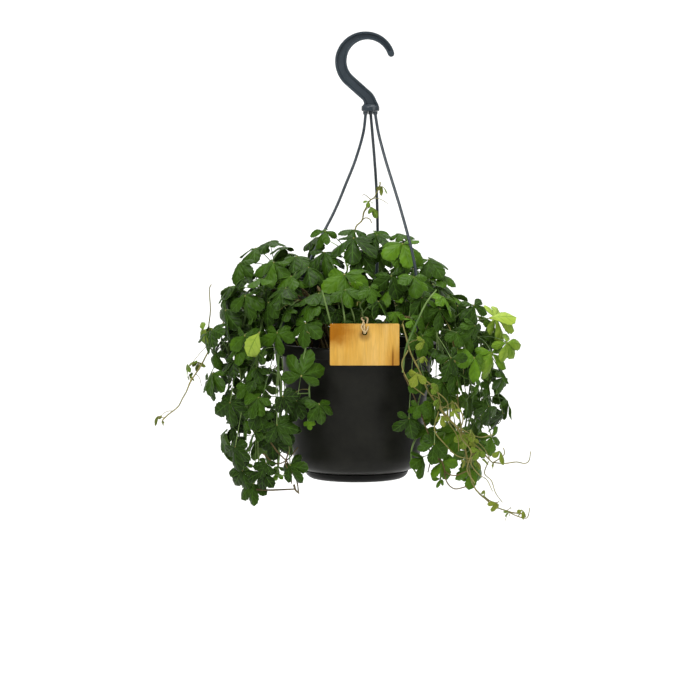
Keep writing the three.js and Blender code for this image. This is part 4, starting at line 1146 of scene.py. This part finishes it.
def growStem(name, route, wanted, size, further):
    # a stem turns about the pot until it is clear; the one that the tag hangs on stays
    kind = next(k for k in stemSteps if name.startswith(k))
    young = kind == "shoot"
    for degrees in stemTurns:
        turn = np.array(Matrix.Rotation(math.radians(degrees), 3, "Z"))
        curve = smoothCurve([turn @ np.asarray(point, float) for point in route])
        points = pointsOn(curve, stemSteps[kind])
        own = rodGuards(name, points, clearance["stem"])
        if name == "vine_front_tag" or all(isFree(item) for item in own):
            break
    guards.add(own)
    drawn = wandering(curve, 40 + len(guards.items), stemSway[kind])
    return {"name": name, "young": young, "curve": drawn, "points": points, "size": size,
            "wanted": wanted, "further": further, "leaves": [], "kind": kind}


def alongStem(stem, share):
    place = share * (len(stem["points"]) - 1)
    before = min(int(place), len(stem["points"]) - 2)
    start, end = stem["points"][before], stem["points"][before + 1]
    return start + (end - start) * (place - before)


def leafIsFree(leaf):
    stalk = stalkPoints(leaf)
    if not (all(clearOfPot(point, clearance["potToLeaf"]) for point in leafOutline(leaf))
            and all(clearOfPot(point, clearance["potToStalk"]) for point in stalk)):
        return False
    rods = rodGuards(leaf["owner"], stalk, clearance["stalk"])
    return isFree(bladeGuard(leaf)) and all(isFree(rod, leaf["owner"]) for rod in rods)


def placeLeaf(stem, trials, proposal):
    for trial in range(trials):
        leaf = proposal(trial)
        if leafIsFree(leaf):
            stem["leaves"].append(leaf)
            stalk = rodGuards(leaf["owner"], stalkPoints(leaf), clearance["stalk"])
            guards.add([bladeGuard(leaf), *stalk])
            return True
    return False


def placeHandLeaf(stem, row, seed, trials, post):
    # a listed leaf, which each new trial moves a little further
    _, x, y, z, size, azimuth, rise, turn, tone = row
    draw = seeded(seed)
    shares = [i / 40 for i in range(6, 39) if alongStem(stem, i / 40)[2] > soilShape["z"] + 12]

    def proposal(trial):
        hub = np.array([c + (next(draw) - 0.5) * trial * 0.9 for c in (x, y, z)])
        angles = [c + 3 * (next(draw) - 0.5) * trial * 0.9 for c in (azimuth, rise, turn)]
        share = min(shares, key=lambda s: np.linalg.norm(alongStem(stem, s) - hub))
        kind = "single" if tone > paleTone else "broad" if size >= largeLeaf else "small"
        return {**facing(*angles), "hub": hub, "size": size, "kind": kind, "share": share,
                "base": alongStem(stem, share), "owner": stem["name"], "tone": tone, "post": post}

    return placeLeaf(stem, trials, proposal)


def leafTone(place):
    # new growth at the front right is lighter, and the tones differ from leaf to leaf
    x, y, z = place
    light = 0.12 * np.clip(x / 90, -1, 1) - 0.06 * np.clip(y / 90, -1, 1)
    state = (abs(x) * 7.3 + abs(y) * 3.1 + abs(z) * 5.7) % 1
    return float(np.clip(0.33 + light + 0.46 * (state - 0.5), 0.03, 0.9))


# the leaves that grow by rule: the part of the stem that they grow on, the least and the
# spread of their reach and height, as shares of their size, and of their rise, in
# degrees; then how freely they turn, and how often a place is sought for one
highUp = 40
leafRules = {
    "plain": {"first": {"shoot": 0.5, "vine_top": 0.42, "vine": 0.42}, "last": 0.995,
              "reach": (0.55, 0.4), "height": (0.1, 0.5), "rise": (8, 42), "topRise": 35,
              "swing": 40, "turn": 50, "post": clearance["blade"], "trials": 16},
    "further": {"first": {"shoot": 0.45, "vine_top": 0.3, "vine": 0.34}, "last": 0.985,
                "reach": (0.5, 1.1), "height": (-0.3, 1.2), "rise": (5, 50), "topRise": 30,
                "swing": 90, "turn": 80, "post": clearance["fine"], "trials": 34},
}


def ruleLeaf(stem, ruleName, share, spread, size, draw):
    rule = leafRules[ruleName]
    share = min(share, rule["last"])
    base = alongStem(stem, share)
    azimuth = compass(base)

    def between(measure):
        least, more = rule[measure]
        return least + more * next(draw)

    reach = size * between("reach")
    hub = polar(reach, azimuth + spread, size * between("height")) + base
    rise = between("rise") + (rule["topRise"] if base[2] > highUp else 0)
    plain = ruleName == "plain"
    out = azimuth + spread * 0.7 if plain else compass(hub)
    shape = facing(out + rule["swing"] * (next(draw) - 0.5), rise,
                   rule["turn"] * (next(draw) - 0.5))
    return {**shape, "hub": hub, "size": size, "kind": "young" if stem["young"] else "small",
            "share": share, "base": base, "owner": stem["name"],
            "tone": leafTone(base if plain else hub), "post": rule["post"]}


def placePlainLeaf(stem, index, seed):
    # the leaves of the plain solids, on alternate sides of the stem
    draw = seeded(seed)
    first = leafRules["plain"]["first"][stem["kind"]]

    def proposal(trial):
        share = first + (1 - first) * (index + 0.85 + 0.3 * (next(draw) - 0.5)) / stem["wanted"]
        spread = (1 if (index + trial) % 2 else -1) * (30 + 45 * next(draw))
        size = stem["size"] * (1.08 - 0.3 * index / stem["wanted"]) * (0.9 + 0.2 * next(draw))
        return ruleLeaf(stem, "plain", share, spread, size, draw)

    placeLeaf(stem, leafRules["plain"]["trials"], proposal)


# the mound is full to these edges seen from the front: the height that it falls off
# through on the right, and how far out it hangs on either side; it leaves two places
# open, the front of the pot and the hollow over its rim on the left
moundEdge = {
    "top": ([60, 77, 92, 110, 160], [90, 75, 50, 37, 33]),
    "left": ([-150, -120, -80, -50], [-114, -127, -136, -150]),
    "right": 153,
}
openPlaces = [
    {"left": -42, "right": 46, "bottom": -160, "top": -12, "front": -60},
    {"left": -80, "right": -30, "bottom": -14, "top": 28, "front": -34},
]
noPlace = np.array((0.0, 0.0, -50.0))  # inside the pot, where no leaf is free


def insideMound(points):
    x, y, z = points.T
    under = (x < moundEdge["top"][0][0]) | (z < np.interp(x, *moundEdge["top"]))
    out = (z > moundEdge["left"][0][-1]) | (x > np.interp(z, *moundEdge["left"]))
    inside = under & out & (x < moundEdge["right"])
    for place in openPlaces:
        inside &= ~((x > place["left"]) & (x < place["right"]) & (z > place["bottom"])
                    & (z < place["top"]) & (y < place["front"]))
    return bool(inside.all())


def placeFurtherLeaf(stem, index, seed, lowest, highest):
    # fine leaves that fill the gaps, on longer stalks and turned more freely
    draw = seeded(seed)
    first = leafRules["further"]["first"][stem["kind"]]

    def proposal(trial):
        share = first + (1 - first) * (index + next(draw)) / stem["further"]
        spread = 110 * (2 * next(draw) - 1)
        size = stem["size"] * ((0.5 if stem["young"] else 0.7) + 0.35 * next(draw))
        leaf = ruleLeaf(stem, "further", share, spread, size, draw)
        points = np.array(leafOutline(leaf))
        boxed = (points.min(0) >= lowest).all() and (points.max(0) <= highest).all()
        if not boxed or not stem["young"] and not insideMound(points):
            leaf["hub"] = noPlace
        return leaf

    placeLeaf(stem, leafRules["further"]["trials"], proposal)


def growPlant():
    guardMadeParts()
    grown = [growStem(*row) for row in stems]
    byName = {stem["name"]: stem for stem in grown}

    def placeByHand(rows, seed, trials, post, what):
        for i, row in enumerate(rows):
            if not placeHandLeaf(byName[row[0]], row, seed + i, trials, post):
                print("no room for", what, "on", row[0], row[1:4])

    def count():
        return sum(len(stem["leaves"]) for stem in grown)

    placeByHand(frontLeaves, 100, 14, clearance["blade"], "a leaf")
    for index in range(max(stem["wanted"] for stem in grown)):
        for i, stem in enumerate(grown):
            if index < stem["wanted"]:
                placePlainLeaf(stem, index, 1000 + i * 10 + index)
    plain = count()
    placeByHand(fineLeaves, 700, 30, clearance["fine"], "a fine leaf")
    lowest, highest = [np.array(corner - potAxis) * 1000 for corner in cadBox]
    for index in range(max(stem["further"] for stem in grown)):
        for i, stem in enumerate(grown):
            if index < stem["further"]:
                placeFurtherLeaf(stem, index, 5000 + i * 30 + index, lowest, highest)
    print("leaves placed:", plain, "and", count() - plain, "finer ones")
    return grown


plant = growPlant()


# leaflets: one thin arched blade with a toothed edge, in eight given bends

leafletBends = [
    {"droop": 0.22, "cup": 0.22, "twist": 0.10, "sweep": 0.03, "wave": 0.012},
    {"droop": 0.30, "cup": 0.34, "twist": -0.14, "sweep": -0.04, "wave": 0.016},
    {"droop": 0.40, "cup": 0.26, "twist": 0.20, "sweep": 0.02, "wave": 0.020},
    {"droop": 0.16, "cup": 0.10, "twist": -0.08, "sweep": 0.05, "wave": 0.024},
    {"droop": 0.26, "cup": -0.10, "twist": 0.16, "sweep": -0.03, "wave": 0.014},
    {"droop": 0.46, "cup": 0.42, "twist": -0.22, "sweep": 0.03, "wave": 0.018},
    {"droop": 0.20, "cup": 0.30, "twist": 0.24, "sweep": -0.05, "wave": 0.022},
    {"droop": 0.34, "cup": 0.16, "twist": -0.18, "sweep": 0.04, "wave": 0.026},
]
leaflet = {"columns": 4, "rows": 13, "width": 0.285, "stalk": 0.022, "tip": 0.012,
           "tooth": 0.07, "toothReach": 0.014, "thickness": 0.026}
# how much the leaflets of one leaf differ: degrees, radians and shares of their size
leafletSway = {"turn": 15, "reach": (0.92, 0.12), "pitch": (0.1, 0.46), "roll": 0.8,
               "width": (0.88, 0.26), "tone": 0.14}


def makeLeaflet(bend, phase):
    bm = bmesh.new()
    bm.loops.layers.uv.new("UVMap")
    underside = bm.verts.layers.float.new("underside")
    bmesh.ops.create_grid(bm, x_segments=leaflet["columns"], y_segments=leaflet["rows"], size=0.5,
                          calc_uvs=True)
    bm.verts.ensure_lookup_table()
    perRow = leaflet["columns"] + 1
    for i, vert in enumerate(bm.verts):
        row = i // perRow
        along = row / leaflet["rows"]
        across = vert.co.x * 2
        half = max(leaflet["width"] * math.sin(math.pi * along ** 1.55) ** 0.68, leaflet["stalk"])
        if row == leaflet["rows"]:
            half = leaflet["tip"]
        if abs(across) > 0.9 and along > 0.3 and row < leaflet["rows"]:
            half *= 1 + leaflet["tooth"] * (1 if row % 2 else -0.7)
            along += leaflet["toothReach"] if row % 2 else 0.0
        x = across * half
        fold = abs(x) - 0.05 * (1 - abs(across)) * half / leaflet["width"]
        height = -bend["droop"] * along ** 2 - bend["cup"] * fold
        height += bend["wave"] * math.sin(9.0 * along + phase) * across * abs(across)
        angle = bend["twist"] * along
        vert.co = (x * math.cos(angle) + bend["sweep"] * along ** 2, along,
                   height + x * math.sin(angle))
    top = len(bm.verts)
    bmesh.ops.solidify(bm, geom=bm.faces[:], thickness=leaflet["thickness"])
    bm.verts.ensure_lookup_table()
    for vert in bm.verts[top:]:
        vert[underside] = 1.0
    return meshFrom(bm, "leaflet")


leaflets = [makeLeaflet(bend, 0.8 * i) for i, bend in enumerate(leafletBends)]


def addLeaf(bm, leaf, toneLayer, draw):
    kind, sway = leafKinds[leaf["kind"]], leafletSway
    (leastReach, moreReach), (leastWidth, moreWidth) = sway["reach"], sway["width"]
    for angle, length in zip(kind["angles"], kind["lengths"]):
        template = leaflets[int(next(draw) * len(leaflets))]
        turn = math.radians(angle + sway["turn"] * (next(draw) - 0.5))
        reach = leaf["size"] * length * (leastReach + moreReach * next(draw))
        alongAxis = leaf["along"] * math.cos(turn) + leaf["side"] * math.sin(turn)
        acrossAxis = leaf["side"] * math.cos(turn) - leaf["along"] * math.sin(turn)
        place = Matrix.Identity(4)
        for row in range(3):
            place[row] = (acrossAxis[row], alongAxis[row], leaf["face"][row], leaf["hub"][row])
        pitch = Matrix.Rotation(sway["pitch"][0] - sway["pitch"][1] * next(draw), 4, "X")
        roll = Matrix.Rotation(sway["roll"] * (next(draw) - 0.5), 4, "Y")
        width = reach * (leastWidth + moreWidth * next(draw))
        size = Matrix.Diagonal((width, reach, reach, 1))
        start = len(bm.verts)
        bm.from_mesh(template)
        bm.verts.ensure_lookup_table()
        made = bm.verts[start:]
        bmesh.ops.transform(bm, matrix=place @ pitch @ roll @ size, verts=made)
        tone = min(1.0, max(0.0, leaf["tone"] + sway["tone"] * (next(draw) - 0.5)))
        for vert in made:
            vert[toneLayer] = tone


stalkRadii = [0.85, 0.6, 0.5, 0.46, 0.44, 0.44, 0.46, 0.62]


def stalkTube(stem, leaf, draw):
    # the stalk rises off the stem in a slight arch and thickens where it joins
    start = stem["curve"](leaf["share"])
    _, end = stalkPoints(leaf)
    arch = up * np.linalg.norm(end - start) * (0.02 + 0.10 * next(draw))
    points = [start + (end - start) * t + arch * math.sin(math.pi * t)
              for t in np.linspace(0, 1, len(stalkRadii))]
    slim, index = (0.75, youngIndex) if stem["young"] else (1.0, greenIndex)
    return points, [radius * slim for radius in stalkRadii], index


# a wiry tendril that runs out, droops and hooks at its end, as shares of its length
tendrilShape = {"arch": 0.12, "droop": 0.25, "sway": 0.08, "hookFrom": 0.75, "hookUp": 0.12,
                "hookBack": 0.4, "radius": 0.42, "thinner": 0.18}


def tendril(start, out, length):
    s = tendrilShape
    side = unit(np.cross(out, up))
    points = []
    for t in np.linspace(0, 1, 12):
        hook = max(0.0, t - s["hookFrom"]) * 4
        rise = s["arch"] * math.sin(math.pi * t) - s["droop"] * t * t + s["hookUp"] * hook ** 2
        points.append(start + out * length * (t - 0.25 * hook ** 2 * s["hookBack"])
                      + up * length * rise + side * length * s["sway"] * math.sin(5 * t))
    return points, [s["radius"] - s["thinner"] * i / 11 for i in range(12)], youngIndex


# tendrils that show at the ends of the young growth, each led by a few points
ledTendrils = {
    "shoot_right": [
        [(135, -52, -115), (146, -52, -116), (158, -52, -114.5), (166, -52, -116),
         (170.5, -52, -113), (172, -52, -104)],
        [(135, -52, -115), (141, -54, -111), (146, -55, -106), (145, -55, -100)],
    ],
    "shoot_low": [
        [(150, -54, -164), (158, -53, -168), (166, -52, -170.5), (169.5, -52, -169),
         (171.5, -52, -160)],
        [(125, -60, -147), (131, -58, -152), (138, -56, -154.5), (141, -56, -153)],
    ],
    "shoot_left": [[(-146, 2, -6), (-148, 0, 12), (-146, -2, 32), (-147, -2, 52),
                    (-145, -2, 58)]],
    "shoot_top": [[(2, 0, 118), (8, 0, 124), (13, 0, 123), (15, 0, 119)]],
}


# bare runners and old wood that show between the leaves, each led by a few points
ledStems = {
    "vine_right_5": [
        (0.55, woodyIndex, [(46, -90, -24), (56, -88, -46), (66, -84, -72), (74, -80, -98),
                            (70, -76, -122)]),
        (0.8, greenIndex, [(60, -72, -84), (54, -74, -100), (55, -72, -116), (60, -70, -126)]),
        (0.6, woodyIndex, [(74, -80, -92), (82, -78, -112), (88, -77, -122), (97, -76, -125),
                           (108, -74, -121)]),
        (0.6, woodyIndex, [(70, -80, -98), (84, -79, -112), (88, -78, -130), (96, -77, -138),
                           (108, -76, -136)]),
    ],
    "shoot_right": [
        (0.5, youngIndex, [(50, -92, 0), (44, -96, -14), (52, -96, -32), (66, -94, -44)]),
        (0.5, youngIndex, [(60, -93, -24), (78, -92, -40), (84, -92, -62), (98, -88, -84),
                           (100, -84, -100)]),
        (0.45, youngIndex, [(84, -84, -60), (98, -82, -78), (112, -78, -100), (122, -74, -118)]),
        (0.4, youngIndex, [(106, -76, -88), (118, -74, -92), (126, -72, -100), (132, -70, -112)]),
        (0.5, youngIndex, [(96, -84, -52), (104, -88, -66), (101, -90, -84), (112, -88, -100),
                           (108, -84, -118), (116, -80, -132)]),
        (0.45, youngIndex, [(72, -92, -36), (88, -94, -50), (90, -95, -66), (104, -93, -78),
                            (120, -86, -86), (134, -80, -84)]),
        (0.45, youngIndex, [(80, -92, -60), (76, -94, -78), (86, -92, -92), (98, -88, -104),
                            (112, -82, -108)]),
        (0.4, youngIndex, [(118, -76, -100), (112, -78, -112), (120, -76, -124),
                           (128, -70, -130), (134, -66, -142)]),
        (0.4, youngIndex, [(130, -64, -112), (126, -66, -124), (133, -62, -132),
                           (137, -60, -144), (144, -58, -154)]),
    ],
    "vine_left_1": [
        (0.7, woodyIndex, [(-74, -72, -84), (-66, -72, -98), (-70, -72, -114),
                           (-60, -71, -128), (-57, -70, -144)]),
        (0.6, woodyIndex, [(-88, -70, -88), (-78, -72, -102), (-66, -71, -116),
                           (-64, -70, -134)]),
        (0.6, woodyIndex, [(-92, -70, -104), (-80, -70, -114), (-68, -70, -110),
                           (-58, -68, -98)]),
        (0.55, greenIndex, [(-88, -70, -120), (-74, -70, -126), (-62, -69, -118),
                            (-56, -68, -108)]),
    ],
    "vine_left_2": [
        (0.75, woodyIndex, [(-99, -58, -141), (-86, -60, -141.5), (-72, -60, -141),
                            (-60.5, -60, -140.5)]),
        (0.9, woodyIndex, [(-62, -60, -136), (-60.5, -60, -141), (-58, -60, -144)]),
    ],
    "vine_top_front": [
        (0.8, greenIndex, [(-24, -64, 6), (-25, -78, 22), (-29, -86, 40), (-34, -82, 58)]),
        (0.75, greenIndex, [(-10, -60, 6), (-11, -77, 22), (-13, -84, 38), (-16, -78, 54)]),
        (0.6, greenIndex, [(0, -60, 8), (-1, -76, 22), (-4, -82, 36), (-9, -78, 48)]),
    ],
    "vine_top_right": [
        (0.8, greenIndex, [(45, -88, -22), (48, -92, 2), (58, -92, 26), (68, -86, 46),
                           (78, -78, 58)]),
    ],
}


# the young shoots and the other stems: their steps, the radii at both ends, the size of
# the last leaf, and their leaves' finish
vineShapes = {
    True: {"steps": 44, "radii": (0.95, 0.6), "tipLeaf": 5.5, "leaf": youngIvyLeaf,
           "slot": "young_leaf"},
    False: {"steps": 36, "radii": (1.35, 0.7), "tipLeaf": 10.0, "leaf": ivyLeaf, "slot": "leaf"},
}
joint = {"swell": 0.3, "swellReach": 0.8, "ball": 0.035}


def taper(route, index, steps, most, fall, radius=1.0):
    # a tube along a given route that grows thinner
    radii = [radius * (most - fall * i / steps) for i in range(steps + 1)]
    return pointsOn(smoothCurve(route), steps), radii, index


def makeVine(stem, seed):
    young = stem["young"]
    s = vineShapes[young]
    draw = seeded(seed)
    bm = bmesh.new()
    bm.loops.layers.uv.new("UVMap")
    toneLayer = bm.verts.layers.float.new("tone")
    for leaf in stem["leaves"]:
        addLeaf(bm, leaf, toneLayer, draw)
    # the folded young leaf that each stem ends in
    end = stem["curve"](1.0)
    bud = facing(compass(end) + 60 * (next(draw) - 0.5), 60 if stem["kind"] == "vine_top" else 12,
                 50 * (next(draw) - 0.5))
    addLeaf(bm, {**bud, "hub": end, "size": s["tipLeaf"], "kind": "young", "tone": 0.7},
            toneLayer, draw)
    steps = s["steps"]
    points = pointsOn(stem["curve"], steps)
    root, tip = s["radii"]
    radii = []
    for i in range(steps + 1):
        swell = sum(math.exp(-((i / steps - leaf["share"]) * steps / joint["swellReach"]) ** 2)
                    for leaf in stem["leaves"])
        radii.append((root + (tip - root) * i / steps) * (1 + joint["swell"] * min(swell, 1)))
    half = steps * 6 // 10
    lengths = [(0, half, woodyIndex), (half, steps, greenIndex)]
    if young:
        lengths = [(0, steps, youngIndex)]
    tubes = [(points[a:b + 1], radii[a:b + 1], index) for a, b, index in lengths]
    tubes += [stalkTube(stem, leaf, draw) for leaf in stem["leaves"]]
    for _ in range(2):
        # two tendrils anywhere on the outer half
        share = 0.5 + 0.45 * next(draw)
        start = stem["curve"](share)
        out = unit(polar(1, 360 * next(draw)) + 0.6 * unit(start * (1, 1, 0))
                   + up * (next(draw) - 0.6))
        tubes.append(tendril(start, out, 12 + 12 * next(draw)))
    for radius, index, route in ledStems.get(stem["name"], []):
        tubes.append(taper(route, index, 24, 1.4, 0.4, radius))
    for route in ledTendrils.get(stem["name"], []):
        tubes.append(taper(route, youngIndex, 20, 0.7, 0.22))
    addTubes(bm, tubes)
    for leaf in stem["leaves"]:
        # the brownish joint that the leaflets meet in
        place = Matrix.Translation(leaf["hub"] - leaf["face"] * 0.2)
        ball = bmesh.ops.create_icosphere(bm, subdivisions=1, radius=joint["ball"] * leaf["size"],
                                          matrix=place)
        paintFaces(ball["verts"], youngIndex)
    keepPiece("leafy_" + stem["name"], bm, fromRim, [s["leaf"], *stemMaterials], stem["name"],
              60)


for number, stem in enumerate(plant):
    makeVine(stem, 300 + number)
for mesh in leaflets:
    bpy.data.meshes.remove(mesh)
print("plant made")


# a white paper sweep that curves up behind the plant, soft light and the camera

sweep = {"half": 10.0, "flatTo": 1.0, "bend": 4.0, "below": 0.75, "steps": 40}
plantMiddle = Vector((potAxis.x, 0, potAxis.z))
softboxes = {
    "key_light": ((-1.1, -1.8, 1.45), (1.5, 1.5), 58, plantMiddle),
    "fill_light": ((1.7, -1.6, 0.2), (1.4, 1.8), 16, plantMiddle),
    "top_light": ((0.1, 0.2, 1.7), (1.6, 1.6), 41, plantMiddle),
    "backdrop_light": ((0.0, 1.8, 2.2), (5.0, 2.0), 90, Vector((0, 5.0, -0.8))),
}
view = {"distance": 3.8, "rise": 5.1, "sensorMm": 36.0, "photoPx": 700, "pxPerMm": 1.0,
        "middleX": -17.3, "middleZ": -309.5, "clipEnd": 60}


def makeFloor():
    bm = bmesh.new()
    bmesh.ops.create_grid(bm, x_segments=2, y_segments=sweep["steps"], size=sweep["half"])
    for vert in bm.verts:
        behind = vert.co.y - sweep["flatTo"]
        if behind > 0:
            turn = min(behind / sweep["bend"], math.pi / 2)
            vert.co.y = sweep["flatTo"] + sweep["bend"] * math.sin(turn)
            wall = max(0.0, behind - sweep["bend"] * math.pi / 2)
            vert.co.z = sweep["bend"] * (1 - math.cos(turn)) + wall
    bmesh.ops.translate(bm, vec=(0, 0, cadBox[0].z - sweep["below"]), verts=bm.verts)
    bmesh.ops.recalc_face_normals(bm, faces=bm.faces)
    mesh = meshFrom(bm, "floor")
    mesh.shade_smooth()
    mesh.materials.append(newMaterial("white_paper_sweep", "#fbfbfa", 0.9, 0.2)[0])
    floor = addObject("floor", mesh)


def addSoftbox(name, location, size, power, aim):
    light = bpy.data.lights.new(name, "AREA")
    light.shape = "RECTANGLE"
    light.size, light.size_y = size
    light.energy = power
    lamp = addObject(name, light)
    lamp.location = location
    lamp.rotation_euler = (aim - lamp.location).to_track_quat("-Z", "Y").to_euler()


def makeCamera():
    camera = bpy.data.cameras.new("camera")
    camera.sensor_width = view["sensorMm"]
    camera.lens = (view["sensorMm"] * view["distance"] * 1000 * view["pxPerMm"]
                   / view["photoPx"])
    camera.clip_end = view["clipEnd"]
    holder = addObject("camera", camera)
    aim = Vector((view["middleX"] / 1000, 0, view["middleZ"] / 1000))
    rise = math.radians(view["rise"])
    holder.location = aim + view["distance"] * Vector((0, -math.cos(rise), math.sin(rise)))
    holder.rotation_euler = (math.pi / 2 - rise, 0, 0)
    bpy.context.scene.camera = holder


def makeWorld():
    world = bpy.data.worlds.new("studio")
    world.use_nodes = True
    background = world.node_tree.nodes["Background"].inputs
    background["Color"].default_value = linear("#ffffff")
    background["Strength"].default_value = 0.3
    bpy.context.scene.world = world
    bpy.context.scene.view_settings.view_transform = "Standard"


makeFloor()
for name, row in softboxes.items():
    addSoftbox(name, *row)
makeCamera()
makeWorld()
print("stage, lights and camera made")
